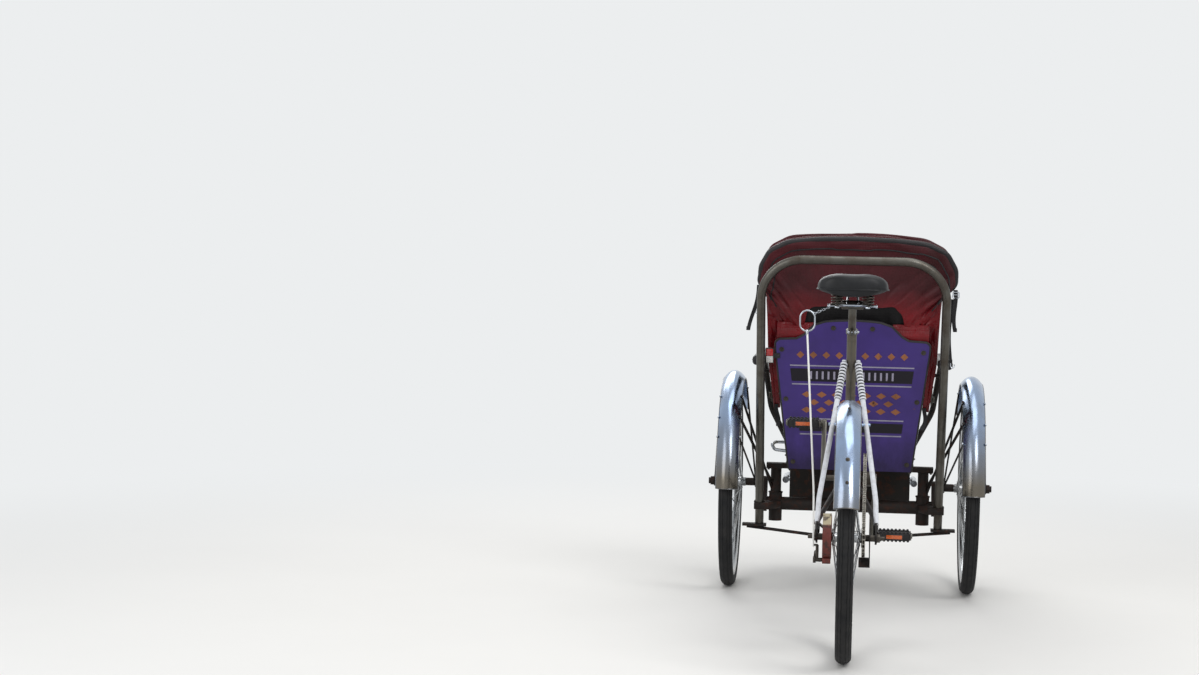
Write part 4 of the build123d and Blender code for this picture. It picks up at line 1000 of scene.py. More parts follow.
def make_pull_rod():
    """White-sleeved pull wire, its chromed hand ring, and the links and the eye that hang it on the saddle wire."""
    y = REAR_AXLE.y
    ring_centre = Vector((-0.120, y + 0.112, 0.908))
    bottom = ring_centre + Vector((0, 0, -0.028))
    wire = swept([(-0.0866, y - 0.034, 0.312), (-0.0896, y, 0.460), bottom], 0.0026, 0.9, sides=3)
    finished(wire, "pull_wire_sleeve", "white_wire", "rear_frame", ("brake_pull_rod",))

    ring = [ring_centre + Vector((0.020 * cos(a), 0, 0.0202 * sin(a) + (0.008 if sin(a) > 0 else -0.008)))
            for a in full_turn(64)]
    made = [swept(ring, 0.0022, sides=3, closed=True)]
    # Open links between ring and hook
    hook_from = Vector((-0.104, y + 0.112, 0.927))
    run = Vector((-0.0625, y + 0.156, 0.9453)) - hook_from
    along = run.normalized()
    side = along.orthogonal().normalized()
    for k in range(HOOK_LINKS):
        middle = hook_from + run * ((k + 0.5) / HOOK_LINKS)
        across = side if k % 2 else along.cross(along.orthogonal()).normalized()
        link = [middle + along * 0.0062 * cos(a) + across * 0.0027 * sin(a) for a in full_turn(20)]
        made.append(swept(link, 0.0009, sides=1, closed=True))
    eye = [polar(Vector((-0.0625, y + 0.160, 0.949)), 0, 0.0054, a) for a in full_turn(24)]
    made.append(swept(eye, 0.0015, sides=2, closed=True))
    made.append(turned(bottom + Vector((0, 0, 0.004)), bottom - Vector((-0.0004, 0.0016, 0.012)), 0.0036, 16, 0.0008))
    finished(made, "pull_ring_chrome", "fender_chrome", "rear_frame")


# Drive

CHAIN_X = 0.046
PITCH = 0.0127
REAR_PITCH_R = PITCH / (2 * sin(pi / 24))
RING_PITCH_R = PITCH / (2 * sin(pi / 34))


def chain_path():
    """Evenly spaced pin places round both sprockets."""
    gap = BB_CENTRE - REAR_AXLE
    slope = atan2(gap.z, gap.y)
    spread_angle = (RING_PITCH_R - REAR_PITCH_R) / sqrt(gap.y ** 2 + gap.z ** 2)
    up = slope + pi / 2 + spread_angle
    down = slope - pi / 2 - spread_angle
    dense = [polar(BB_CENTRE, 0, RING_PITCH_R, a) for a in spread(up, down - up, 120)]
    dense += [polar(REAR_AXLE, 0, REAR_PITCH_R, a) for a in spread(down, up - 2 * pi - down, 120)]
    dense.append(dense[0])
    total = sum((b - a).length for a, b in zip(dense, dense[1:]))
    count = 2 * int(total / PITCH / 2 + 0.5)
    step = total / count
    places, walked, index = [], 0.0, 0
    for k in range(count):
        while walked + (dense[index + 1] - dense[index]).length < k * step:
            walked += (dense[index + 1] - dense[index]).length
            index += 1
        run = dense[index + 1] - dense[index]
        places.append(dense[index] + run.normalized() * (k * step - walked))
    return places


def make_chain():
    """Half-inch roller chain: waisted plates inside and out by turns, on rollers."""
    places = chain_path()
    made = []
    for index, (here, there) in enumerate(zip(places, places[1:] + places[:1])):
        run = (there - here).normalized()
        rise = Vector((0, -run.z, run.y))
        middle = (here + there) / 2
        shift = 0.0025 if index % 2 else 0.0035
        for side in (-1, 1):
            outline = []
            for place, face in ((here, -1), (there, 1)):
                for a in (90, 45, 0, -45, -90):
                    outline.append(place + (run * cos(radians(a)) + rise * sin(radians(a))) * face * 0.0041)
                outline.append(middle + rise * (-0.0029 * face))
            outline = [(CHAIN_X + side * shift, point.y, point.z) for point in outline]
            made.append(plate(outline, (side, 0, 0), 0.001))
        made.append(pin(here, CHAIN_X - 0.0044, CHAIN_X + 0.0044, 0.0022, 8))
    finished(made, "roller_chain", "chain_steel", "rear_frame", ("chain",), 30)


def crank_eye(side):
    """The pedal pin's end of a crank, with the left one up."""
    return BB_CENTRE - Vector((0, sin(CRANK_TURN), cos(CRANK_TURN))) * side * CRANK_LENGTH


def make_cranks():
    """Forged crank arms, tapered and rounded, with cotter pins and chainring bolts."""
    made = [pin(BB_CENTRE, -0.080, 0.080, 0.008, 24, 0.001)]
    for side in (-1, 1):
        eye = crank_eye(side)
        along = (eye - BB_CENTRE).normalized()
        across = Vector((0, -along.z, along.y))
        outline = []
        for place, radius, face in ((BB_CENTRE, 0.0158, -1), (eye, 0.0118, 1)):
            for a in range(-90, 91, 15):
                outline.append(place + (along * cos(radians(a)) + across * sin(radians(a))) * radius * face)
            outline.append(place - along * face * 0.024 + across * radius * 0.80 * face)
        made.append(plate([(side * 0.066, point.y, point.z) for point in outline], (side, 0, 0), 0.0135, 0.0028))
        cotter = BB_CENTRE + Vector((side * 0.073, 0, 0)) + across * 0.010
        made.append(turned(cotter - along * 0.016, cotter + along * 0.017, 0.0043, 16, 0.0006))
        made.append(turned(cotter + along * 0.013, cotter + along * 0.019, 0.0074, 6, 0.0006))
        made.append(pin(eye, side * 0.066, side * 0.176, 0.005, 20, 0.0006))
        made.append(pin(eye, side * 0.0795, side * 0.0835, 0.0098, 24, 0.0008))
    finished(made, "crank_forgings", "satin_steel", "crankset", ("crank_arms",))

    bolts = [(on_wheel(BB_CENTRE, 0.0474, 0.055, 36 + 72 * k), (1, 0, 0)) for k in range(5)]
    finished(nuts(bolts, 0.0048, 0.0035, 0.0062), "chainring_bolts", "drive_steel", "crankset")


def make_pedals():
    """Block pedals: two ribbed rubber blocks on bolts between steel end plates, amber reflectors fore and aft."""
    for name, side in SIDES:
        eye = crank_eye(side)
        body = f"{name}_pedal"
        middle = Vector((side * 0.132, eye.y, eye.z))
        blocks, amber, backs = [], [], []
        for face in (-1, 1):
            centre = middle + Vector((0, face * 0.031, 0))
            blocks.append(block(centre, (0.088, 0.024, 0.0215), 0.0035))
            for k in range(8):
                for lift in (-1, 1):
                    rib = centre + Vector((-0.0385 + k * 0.011, 0, lift * 0.0118))
                    blocks.append(block(rib, (0.0062, 0.0225, 0.0034), 0.0011, 2))
        finished(blocks, f"pedal_blocks_{name}", "pedal_rubber", body, (f"pedal_{name}",))

        steel = [pin(eye, side * 0.0845, side * 0.1795, 0.0093, 28, 0.001)]
        for x, outward_way in ((side * 0.0860, -side), (side * 0.1780, side)):
            steel.append(block((x, eye.y, eye.z), (0.0036, 0.087, 0.0165), 0.0014, 2))
            for face in (-1, 1):
                bolt_at = Vector((x, eye.y + face * 0.031, eye.z))
                steel.append(pin(bolt_at, x, x + outward_way * 0.0045, 0.0042, 6, 0.0005))
        steel.append(pin(eye, side * 0.1780, side * 0.1830, 0.0080, 24, 0.0016))
        finished(steel, f"pedal_cage_{name}", "satin_steel", body)

        for face in (-1, 1):
            amber.append(block(middle + Vector((0, face * 0.0446, 0)), (0.044, 0.0022, 0.0105), 0.0008, 2))
            backs.append(block(middle + Vector((0, face * 0.0434, 0)), (0.050, 0.0024, 0.0150), 0.0008, 2))
        finished(amber, f"pedal_lenses_{name}", "reflector_orange", body)
        finished(backs, f"pedal_lens_backs_{name}", "black_plastic", body)


# Passenger cart

# Half outline of the folded hood from the tail's tip to the crown: outer x, outer height, inner x, inner height,
# in metres across and up the leaning back
HOOD_TABLE = (
    (0.00, 0.240, 0.182, 0.221, 0.184),
    (0.08, 0.250, 0.268, 0.229, 0.268),
    (0.14, 0.260, 0.330, 0.233, 0.335),
    (0.22, 0.263, 0.400, 0.222, 0.400),
    (0.27, 0.264, 0.440, 0.196, 0.410),
    (0.33, 0.266, 0.505, 0.190, 0.430),
    (0.42, 0.270, 0.570, 0.184, 0.454),
    (0.46, 0.298, 0.592, 0.170, 0.454),
    (0.50, 0.308, 0.612, 0.160, 0.456),
    (0.60, 0.297, 0.656, 0.146, 0.512),
    (0.70, 0.264, 0.704, 0.122, 0.530),
    (0.80, 0.205, 0.735, 0.088, 0.535),
    (0.90, 0.110, 0.745, 0.045, 0.537),
    (1.00, 0.000, 0.748, 0.000, 0.538),
)
# The left side hangs slacker than the right one: how far each outer edge leans out
HOOD_LEAN = (
    (0.00, 0.000, 0.000), (0.40, 0.000, 0.000), (0.46, -0.010, 0.002), (0.52, -0.018, 0.003), (0.60, -0.012, 0.010),
    (0.72, -0.003, 0.018), (0.82, -0.002, 0.012), (1.00, 0.000, 0.000),
)
HOOD_FRONT = -0.110
HOOD_REAR = -0.026
HOOD_HALF = (HOOD_REAR - HOOD_FRONT) / 2
HOOD_MIDDLE = (HOOD_REAR + HOOD_FRONT) / 2
HOOD_AROUND = 150
HOOD_ALONG = 210
# The cloth's folded section, from its rear lower edge up the rear face and forward over four bows: share of the way
# from inner to outer edge, and depth from 1 at the rear to -1 at the front
HOOD_SECTION = (
    (0.00, 0.96), (0.28, 0.97), (0.62, 0.98), (0.92, 1.00), (1.00, 0.88), (0.94, 0.74), (0.62, 0.66), (0.30, 0.60),
    (0.26, 0.49), (0.60, 0.43), (0.93, 0.40), (0.99, 0.28), (0.93, 0.16), (0.60, 0.11), (0.27, 0.05), (0.25, -0.07),
    (0.60, -0.13), (0.93, -0.16), (0.99, -0.28), (0.93, -0.40), (0.60, -0.45), (0.29, -0.50), (0.26, -0.61),
    (0.60, -0.67), (0.93, -0.71), (0.99, -0.84), (0.93, -0.97), (0.62, -1.00), (0.30, -0.99), (0.06, -0.95),
    (0.00, -0.84),
)
REAR_FACE = 3.4 / (len(HOOD_SECTION) - 1)
BOW_DEPTHS = (0.66, 0.24, -0.24, -0.68)


def from_straight(table, share, column):
    """Value between table rows on a line eased at its corners."""
    total = 0.0
    for nudge in (-0.018, -0.009, 0.0, 0.009, 0.018):
        at = clamp(share + nudge)
        low, high = next((rows for rows in zip(table, table[1:]) if at <= rows[1][0]), table[-2:])
        total += low[column] + (high[column] - low[column]) * ((at - low[0]) / (high[0] - low[0]))
    return total / 5


def hood_row(share):
    """Outer and inner edge of the folded hood at a share of the way from tail to tail."""
    side = -1 if share < 0.5 else 1
    s = 1 - abs(share - 0.5) * 2
    row = [from_straight(HOOD_TABLE, s, column) for column in (1, 2, 3, 4)]
    lean = from_straight(HOOD_LEAN, s, 1 if side < 0 else 2)
    return side * (row[0] + lean), row[1], side * row[2], row[3], s


def section_point(around):
    """A smooth line through the section's points."""
    place = clamp(around, 0.0, 0.99999) * (len(HOOD_SECTION) - 1)
    k = int(place)
    t = place - k
    points = [HOOD_SECTION[clamp(k + j, 0, len(HOOD_SECTION) - 1)] for j in (-1, 0, 1, 2)]
    return [0.5 * (2 * b + (c - a) * t + (2 * a - 5 * b + 4 * c - d) * t * t + (3 * b - 3 * c + d - a) * t ** 3)
            for a, b, c, d in zip(*points)]


def gathered(s, least):
    """How far the folds open out from the tails, where they lie closest."""
    return least + (1 - least) * min(1.0, s / 0.42)


def hood_surface(share, around, lift=0.0):
    """A point on the hood's cloth, with slack loops between the bows, long creases and small puckers."""
    ox, ov, ix, iv, s = hood_row(share)
    hand = 1 if ox > 0 else -1
    full = min(1.0, sqrt((ox - ix) ** 2 + (ov - iv) ** 2) / 0.12)
    across, depth = section_point(around)
    loose = max(0.0, 1 - abs(2 * across - 1)) ** 0.5
    across += 0.07 * wobble(s * 6 * hand, around * 9, 1.3) * (1 - across) * full
    # Creases run along the bows; puckers run across them, most where the hood turns its corners
    ridge = abs(wobble(s * 9 * hand + 2.0, around * 30, 0.7))
    crease = max(0.0, 1 - 3.0 * ridge) ** 1.4 * 0.0090
    corner = max(0.0, 1 - abs(s - 0.55) / 0.24)
    pucker = wobble(s * 34 * hand + around * 20, around * 7, 5.1) * (0.0024 + 0.0072 * corner)
    billow = wobble(s * 11 * hand, around * 16, 8.0) * 0.0120
    push = (pucker + billow - crease) * loose * full + lift
    if 0.12 <= around <= 0.88:
        push *= 0.45
    elif around > 0.88:
        push = -push
    # The tails hang close behind the seat sides
    tail = 0.036 * max(0.0, 1 - s / 0.24)
    rearward = clamp(HOOD_MIDDLE + tail + depth * HOOD_HALF * gathered(s, 0.14) + push,
                     HOOD_FRONT - 0.004, HOOD_REAR + 0.012)
    slack = 0.005 * wobble(s * 9 * hand, around * 3, 4.0) * full
    return back_point(ix + (ox - ix) * across, iv + (ov - iv) * across + slack * (0.3 + 0.7 * across), rearward)


def make_hood():
    """Folded hood: one cloth that climbs the rear face and loops between four bows, with binding and piping."""
    hood = grid(HOOD_AROUND, HOOD_ALONG, lambda x, y: hood_surface((y + 1) / 2, (x + 1) / 2))
    finished(thickened(hood, 0.0016), "hood_folds", "hood_cloth", "cart", ("hood_cover",), 80)

    binding = []
    for share in spread(0.2, 0.6, 200):
        ox, ov, ix, iv, _ = hood_row(share)
        out = Vector((ox - ix, ov - iv)).normalized() * 0.0005
        binding.append(back_point(ox + out.x, ov + out.y, HOOD_REAR - 0.010))
    edge = swept(binding, 0.0088, taper=lambda t: 0.35 + 0.65 * min(1.0, 8 * t, 8 * (1 - t)))
    finished(edge, "hood_binding", "hood_edge", "cart", (), 60)
    face = spread(0.0, REAR_FACE * 0.9, 59)
    lines = []
    for inset in (0.028, 0.056):
        piping = []
        for share in spread(0.21, 0.58, 200):
            ox, ov, ix, iv, _ = hood_row(share)
            across = max(0.05, 1 - inset / sqrt((ox - ix) ** 2 + (ov - iv) ** 2))
            around = min(face, key=lambda place: abs(section_point(place)[0] - across))
            piping.append(hood_surface(share, around, 0.0016))
        lines.append(modified(swept(piping, 0.0023, sides=2), "SMOOTH", factor=0.5, iterations=3))
    piping = finished(lines, "hood_piping", "black_web", "cart", (), 60)


def make_hood_bows():
    """Steel bows inside the folds, gathered on the pivots at both ends."""
    left, right = (back_point(side * HOOD_PIVOT_X, 0.214, -0.066) for side in (-1, 1))
    bows = []
    for depth in BOW_DEPTHS:
        route = []
        for share in spread(0.0, 1.0, 120):
            ox, ov, ix, iv, s = hood_row(share)
            inward = Vector((ix - ox, iv - ov))
            inward = inward.normalized() * min(0.018, inward.length * 0.5)
            rearward = HOOD_MIDDLE + depth * HOOD_HALF * gathered(s, 0.24) * 0.94
            route.append(back_point(ox + inward.x, ov + inward.y, rearward))
        route = [left, route[0].lerp(left, 0.5), *route, route[-1].lerp(right, 0.5), right]
        bows.append(swept(route, 0.0050, sides=2))
    finished(bows, "hood_bows", "satin_steel", "cart", (), 60)


def make_hood_linings():
    """Black lining that hangs behind the top of the back panel as painted shade in the opening there, and the red flaps
    tucked in behind its shoulders.
    """
    def lining_point(x, y):
        drop = (1 - y) / 2
        x *= 0.150 + 0.018 * drop
        gather = wobble(x * 34, drop * 1.5, 2.0) * 0.0042 + wobble(x * 90, drop * 3, 6.0) * 0.0015
        hem = 0.0035 * wobble(x * 40, 3.0, 1.0)
        return back_point(x, 0.545 - (0.090 + hem) * drop, -0.0375 + gather * (0.4 + 0.6 * drop))

    # A dark sheet as painted shade in the opening between the hood and the top of the panel
    lining = thickened(grid(90, 24, lining_point), 0.0014)
    finished(lining, "hood_shade_lining", "lining_and_shade_cloth", "cart", (), 70)

    def flap_point(x, y):
        x, drop = side * (0.122 + 0.112 * (x + 1) / 2), (1 - y) / 2
        tuck = eased(min(1.0, drop / 0.50))
        fold = wobble(x * 60, drop * 1.5, 9.0) * 0.0035 * (1 - tuck)
        return back_point(x, 0.476 - 0.058 * drop, -0.0300 + fold + 0.0294 * tuck)

    for name, side in SIDES:
        flap = thickened(grid(60, 36, flap_point), 0.0010)
        finished(flap, f"hood_flap_{name}", "hood_cloth", "cart", (), 70)


def make_hood_irons():
    """Flat steel bars from the seat side up into the folded bows, on pivot bolts."""
    made = []
    for side in (-1, 1):
        low, high = (back_point(side * 0.250, up, -0.066) for up in (0.206, 0.318))
        outline = ((0.196, -0.058), (0.330, -0.058), (0.330, -0.074), (0.196, -0.074))
        made.append(plate([back_point(side * HOOD_PIVOT_X, up, rearward) for up, rearward in outline],
                          (side, 0, 0), 0.0052, 0.001))
        pivot = low + Vector((0, 0, 0.008))
        made.append(pin(pivot, side * 0.2215, side * 0.254, 0.0066, 20, 0.0008))
        made.append(pin(pivot, side * 0.253, side * 0.2595, 0.0100, 6, 0.0008))
        made.append(pin(pivot, side * 0.2195, side * 0.2235, 0.0125, 28, 0.0008))
        for lift in (0.45, 0.8):
            made.append(pin(low.lerp(high, lift), side * 0.2515, side * 0.2545, 0.0038, 16, 0.001))
    finished(made, "hood_iron_bars", "satin_steel", "cart", ("hood_irons",))


def make_straps():
    """Loose webbing ends hung from the hood's lower corners, two with a buckle and one with a wire hook."""
    straps, metal = [], []
    # Top as across, up and out behind the back, then drift across and drop, width, buckle's share of the drop or none
    hung = (
        ((-0.292, 0.596, -0.030), (-0.026, -0.140), 0.013, None),
        ((0.306, 0.594, -0.030), (0.006, -0.128), 0.013, 0.10),
        ((0.299, 0.560, -0.040), (0.000, -0.196), 0.010, None),
        ((-0.286, 0.560, -0.046), (-0.010, -0.090), 0.010, 0.55),
        ((-0.2305, 0.202, -0.0255), (0.002, -0.068), 0.013, None),
        ((0.2305, 0.202, -0.0255), (-0.006, -0.068), 0.013, None),
    )
    steps = 16
    for index, (at, (drift, drop), width, clasp) in enumerate(hung):
        top = back_point(*at)
        foot = top + Vector((drift, -0.006, drop))
        outline = []
        for t in spread(0.0, 1.0, steps):
            sway = Vector((0.004 * sin(t * 5 + index), 0.003 * sin(t * 7 + index), 0))
            outline.append((top.lerp(foot, t) + sway, width * (1 - 0.12 * t)))
        left = [point - Vector((w / 2, 0, 0)) for point, w in outline]
        right = [point + Vector((w / 2, 0, 0)) for point, w in reversed(outline)]
        straps.append(plate(left + right, (0, -1, 0), 0.0018))
        # Turned and stitched end
        end, w = outline[-1]
        straps.append(block(end + Vector((0, -0.0012, 0.005)), (w + 0.0008, 0.0042, 0.012), 0.0011, 2))
        if clasp is not None:
            buckle = outline[round(clasp * steps)][0]
            half = width / 2 + 0.0032
            corners = [buckle + Vector((x, -0.0030, z))
                       for x, z in ((half, 0.009), (half, -0.009), (-half, -0.009), (-half, 0.009), (half, 0.009))]
            metal.append(swept(rounded_route(corners, 0.003, 4), 0.0015, sides=2))
            bar = [buckle + Vector((x, -0.0034, 0.001)) for x in (-half, half)]
            metal.append(swept(bar, 0.0013, sides=2))
    hook_top = back_point(*hung[2][0]) + Vector((0.002, -0.006, -0.192))
    hook = [hook_top + Vector((x, 0, z))
            for x, z in ((0, 0), (0, -0.014), (0.006, -0.022), (0.012, -0.014), (0.012, -0.008))]
    metal.append(swept(hook, 0.0016, 0.005, sides=2))
    finished(straps, "hood_straps", "black_web", "cart", (), 30)
    finished(metal, "strap_buckles", "fender_chrome", "cart")


BACK_HALF = (
    (0.1905, -0.0040), (0.236, 0.405), (0.236, 0.422), (0.226, 0.431), (0.172, 0.434), (0.150, 0.447),
    (0.118, 0.480), (0.084, 0.492),
)
PANEL_T = 0.010
# How far up the back the middle of its pad is, and how far apart its diagonal seams are
BACKREST_UP = 0.282
TUFT_PITCH = 0.0749


def panel_half_width(up):
    return 0.189 + 0.047 * min(1.0, (up + 0.014) / 0.419)


def make_panel():
    """Trim, lining, bolts and painted pattern of the back panel: bands, fine lines and lozenges, all plain geometry."""
    crown = [(-0.084 * t, 0.492 + 0.005 * (1 - t * t)) for t in spread(-1, 2, 16)[1:-1]]
    outline = [*BACK_HALF, *crown, *mirrored(BACK_HALF)]
    edge = [back_point(x, v, PANEL_T / 2) for x, v in outline]
    finished(swept(edge, 0.0052, 0.012, sides=3), "panel_edge_trim", "hood_edge", "cart", (), 60)
    inner = [back_point(x * 0.992, v - 0.003, -0.0011) for x, v in outline]
    finished(plate(inner, BACK_OUT, 0.0010), "panel_inner_lining", "lining_and_shade_cloth", "cart", (), 0)

    def inlay(points, thickness=0.0006):
        return plate([back_point(x, v, PANEL_T + 0.0002) for x, v in points], BACK_OUT, thickness)

    def strip(low, high, inset):
        foot, head = panel_half_width(low) - inset, panel_half_width(high) - inset
        return inlay([(-foot, low), (foot, low), (head, high), (-head, high)])

    bands = [strip(0.128, 0.160, 0.046), strip(0.296, 0.338, 0.038)]
    finished(bands, "panel_bands", "panel_dark", "cart", (), 0)

    lines = [strip(low, low + 0.0042, 0.046 if low < 0.2 else 0.038) for low in (0.116, 0.168, 0.284, 0.346)]
    # Rows of small bars, as plain as a ladder
    for k in range(15):
        low, high = -0.129 + k * 0.018, -0.123 + k * 0.018
        lines.append(inlay([(low, 0.304), (high, 0.304), (high, 0.330), (low, 0.330)], 0.0011))
    finished(lines, "panel_lines", "panel_grey", "cart", (), 0)

    lozenges = []
    # Height, how many, distance apart, half width and half height
    for up, count, pitch, wide, tall in ((0.200, 7, 0.046, 0.01575, 0.0105), (0.226, 6, 0.046, 0.01575, 0.0105),
                                         (0.252, 7, 0.046, 0.01575, 0.0105), (0.384, 9, 0.040, 0.012, 0.012)):
        for k in range(count):
            x = (k - (count - 1) / 2) * pitch
            lozenges.append(inlay([(x - wide, up), (x, up - tall), (x + wide, up), (x, up + tall)]))
    finished(lozenges, "panel_lozenges", "panel_ochre", "cart", (), 0)

    places = [(back_point(side * x, v, PANEL_T), BACK_OUT)
              for x, v in ((0.178, 0.022), (0.203, 0.235), (0.218, 0.400), (0.060, 0.474)) for side in (1, -1)]
    finished(nuts(places, 0.0052, 0.0030, 0.0078), "panel_bolts", "drive_steel", "cart")


def swell(piece, frames=20):
    """Blows a closed form up as sewn cloth would be by its stuffing, no further than the seat loft."""
    modified(piece, "REMESH", mode="VOXEL", voxel_size=0.006)
    start = [v.co.copy() for v in piece.data.vertices]
    cloth = piece.modifiers.new("stuffing", "CLOTH")
    for name, value in (("use_pressure", True), ("uniform_pressure_force", 4.0), ("quality", 4),
                        ("tension_stiffness", 12), ("bending_stiffness", 0.6)):
        setattr(cloth.settings, name, value)
    cloth.settings.effector_weights.gravity = 0
    scene = bpy.context.scene
    for step in range(1, frames + 1):
        scene.frame_set(step)
    shaped = piece.evaluated_get(bpy.context.evaluated_depsgraph_get())
    moved = [v.co.copy() for v in shaped.data.vertices]
    piece.modifiers.remove(cloth)
    for vertex, before, after in zip(piece.data.vertices, start, moved):
        step = after - before
        if step.length > scene.rickshaw.seat_loft:
            step = step.normalized() * scene.rickshaw.seat_loft
        vertex.co = before + step
    scene.frame_set(1)
    modified(piece, "SMOOTH", factor=0.5, iterations=4)
    return modified(piece, "SUBSURF", levels=1, render_levels=1)


def channel(vertex, distance, width, depth, direction):
    """Pulls a point in towards a seam that runs near it."""
    if distance < width:
        vertex.co += direction * depth * (0.5 + 0.5 * cos(pi * distance / width))


def make_cushion():
    """Seat cushion: foam slab in vinyl, crowned, four sewn channels across it, piped edges."""
    low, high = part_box("cushion")
    centre = (low + high) / 2
    size = high - low
    piece = block(centre - Vector((0, 0, 0.003)), (size.x - 0.026, size.y - 0.026, size.z - 0.020), 0.018)
    swell(piece)
    down = Vector((0, 0, -1))
    for vertex in piece.data.vertices:
        if vertex.co.z > centre.z:
            for k in range(1, 5):
                channel(vertex, abs(vertex.co.y - (low.y + size.y * k / 5)), 0.009, 0.008, down)
        vertex.co.z = max(vertex.co.z, low.z + 0.001)
    finished(piece, "cushion_cover", "seat_cloth", "cart", ("cushion",), 75)
    inset, corner = 0.006, 0.028
    half = size / 2 - Vector((inset + corner, inset + corner, 0))
    for z, label in ((high.z - 0.0165, "upper"), (low.z + 0.0125, "lower")):
        route = []
        for k, (x, y) in enumerate(((-1, -1), (1, -1), (1, 1), (-1, 1))):
            for angle in spread(180 + 90 * k, 90, 8):
                a = radians(angle)
                route.append((centre.x + x * half.x + corner * cos(a), centre.y + y * half.y + corner * sin(a), z))
        piping = swept(route, 0.0028, sides=2, closed=True)
        finished(piping, f"cushion_piping_{label}", "black_web", "cart")


def make_backrest():
    """Backrest pad: buttoned diamond tufting on a leaning slab."""
    centre = back_point(0, BACKREST_UP, -0.032)
    piece = block((0, 0, 0), (0.346, 0.314, 0.046), 0.017)
    turn = Matrix((
        (1, 0, 0), (0, -sin(BACK_LEAN), -cos(BACK_LEAN)), (0, cos(BACK_LEAN), -sin(BACK_LEAN)),
    )).to_4x4()
    piece.data.transform(Matrix.Translation(centre) @ turn)
    swell(tidy_mesh(piece))
    buttons = [((k - (count - 1) / 2) * 0.086, (row - 1.5) * 0.076)
               for row, count in enumerate((4, 3, 4, 3)) for k in range(count)]
    for vertex in piece.data.vertices:
        offset = vertex.co - BACK_ORIGIN
        x, up, deep = offset.x, offset.dot(BACK_UP) - BACKREST_UP, offset.dot(BACK_OUT)
        # Behind its middle the pad is only held off the panel
        if deep > -0.032:
            if deep > -0.0012:
                vertex.co -= BACK_OUT * (deep + 0.0012)
            continue
        for bx, bv in buttons:
            distance = sqrt((x - bx) ** 2 + (up - bv) ** 2)
            if distance < 0.040:
                vertex.co += BACK_OUT * 0.014 * (1 - distance / 0.040) ** 2
        if abs(x) < 0.150 and abs(up) < 0.135:
            for slope in (1, -1):
                run = (x * 0.076 + slope * up * 0.043) / 0.0873
                channel(vertex, abs((run / TUFT_PITCH + 0.5) % 1 - 0.5) * TUFT_PITCH, 0.007, 0.0030, BACK_OUT)
    finished(piece, "backrest_cover", "seat_cloth", "cart", ("backrest",), 75)
    studs = [stud(back_point(bx, BACKREST_UP + bv, -0.046), -BACK_OUT, 0.0050, 0.0075, 24, 0.002) for bx, bv in buttons]
    finished(studs, "backrest_buttons", "seat_cloth", "cart")


def make_armrests():
    """Long padded armrests in black leathercloth with a seam along each side, on bent tubes."""
    for name in ("left", "right"):
        low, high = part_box(f"armrest_pad_{name}")
        centre = (low + high) / 2
        size = high - low
        pad = block(centre, size, 0.012, 5)
        modified(pad, "SUBSURF", levels=2, render_levels=2, subdivision_type="SIMPLE")
        for vertex in pad.data.vertices:
            t = (vertex.co.y - centre.y) / (size.y / 2)
            end = max(0.0, 1 - max(0.0, abs(t) - 0.93) / 0.07)
            vertex.co.x = centre.x + (vertex.co.x - centre.x) * (0.80 + 0.20 * sqrt(end))
            if vertex.co.z > centre.z:
                vertex.co.z += 0.0016 * cos((vertex.co.x - centre.x) / size.x * pi)
                vertex.co.z += 0.0012 * noise.noise(vertex.co * 40)
        finished(pad, f"armrest_pad_skin_{name}", "pad_black", "cart", (f"armrest_pad_{name}",), 60)
        welts = []
        for edge in (-1, 1):
            x = centre.x + edge * (size.x / 2 - 0.0006)
            welts.append(swept([(x, y, centre.z + 0.002) for y in (low.y + 0.016, high.y - 0.016)], 0.0016, sides=2))
        finished(welts, f"armrest_welts_{name}", "pad_black", "cart")


SIDE_FLARE = radians(6.5)
SIDE_EDGE = ((-0.246, 0.704), (-0.120, 0.706), (0.070, 0.672), (0.205, 0.560), (0.240, 0.470), (0.240, 0.424))


def side_point(side, y, z, out=0.0):
    """A point on the inner face of a flared seat side; y from the front axle."""
    return Vector((side * (0.188 + (z - 0.420) * sin(SIDE_FLARE) / cos(SIDE_FLARE) + out), FRONT_AXLE.y + y, z))


def make_seat_sides():
    """Rolled tube edge, a raised moulding and the bolts on each painted seat side."""
    for name, side in SIDES:
        edge = [side_point(side, y, z, 0.004) for y, z in SIDE_EDGE]
        trim = swept(edge, 0.0062, 0.024, sides=3)
        finished(trim, f"seat_side_edge_{name}", "black_web", "cart", (), 60)
        inset = ((-0.196, 0.660), (-0.120, 0.664), (0.052, 0.634), (0.168, 0.536), (0.198, 0.470), (-0.140, 0.470))
        mould = [side_point(side, y, z, 0.0092) for y, z in inset]
        bead = swept([*mould, mould[0]], 0.0030, 0.016, sides=2)
        finished(bead, f"seat_side_moulding_{name}", "fender_chrome", "cart", (), 60)
        places = []
        for y, z in ((-0.150, 0.440), (0.030, 0.440), (0.205, 0.440), (-0.215, 0.640)):
            places.append((side_point(side, y, z, 0.008), (side, 0, -0.11)))
        finished(nuts(places, 0.0050, 0.0030, 0.0080), f"seat_side_bolts_{name}", "drive_steel", "cart")


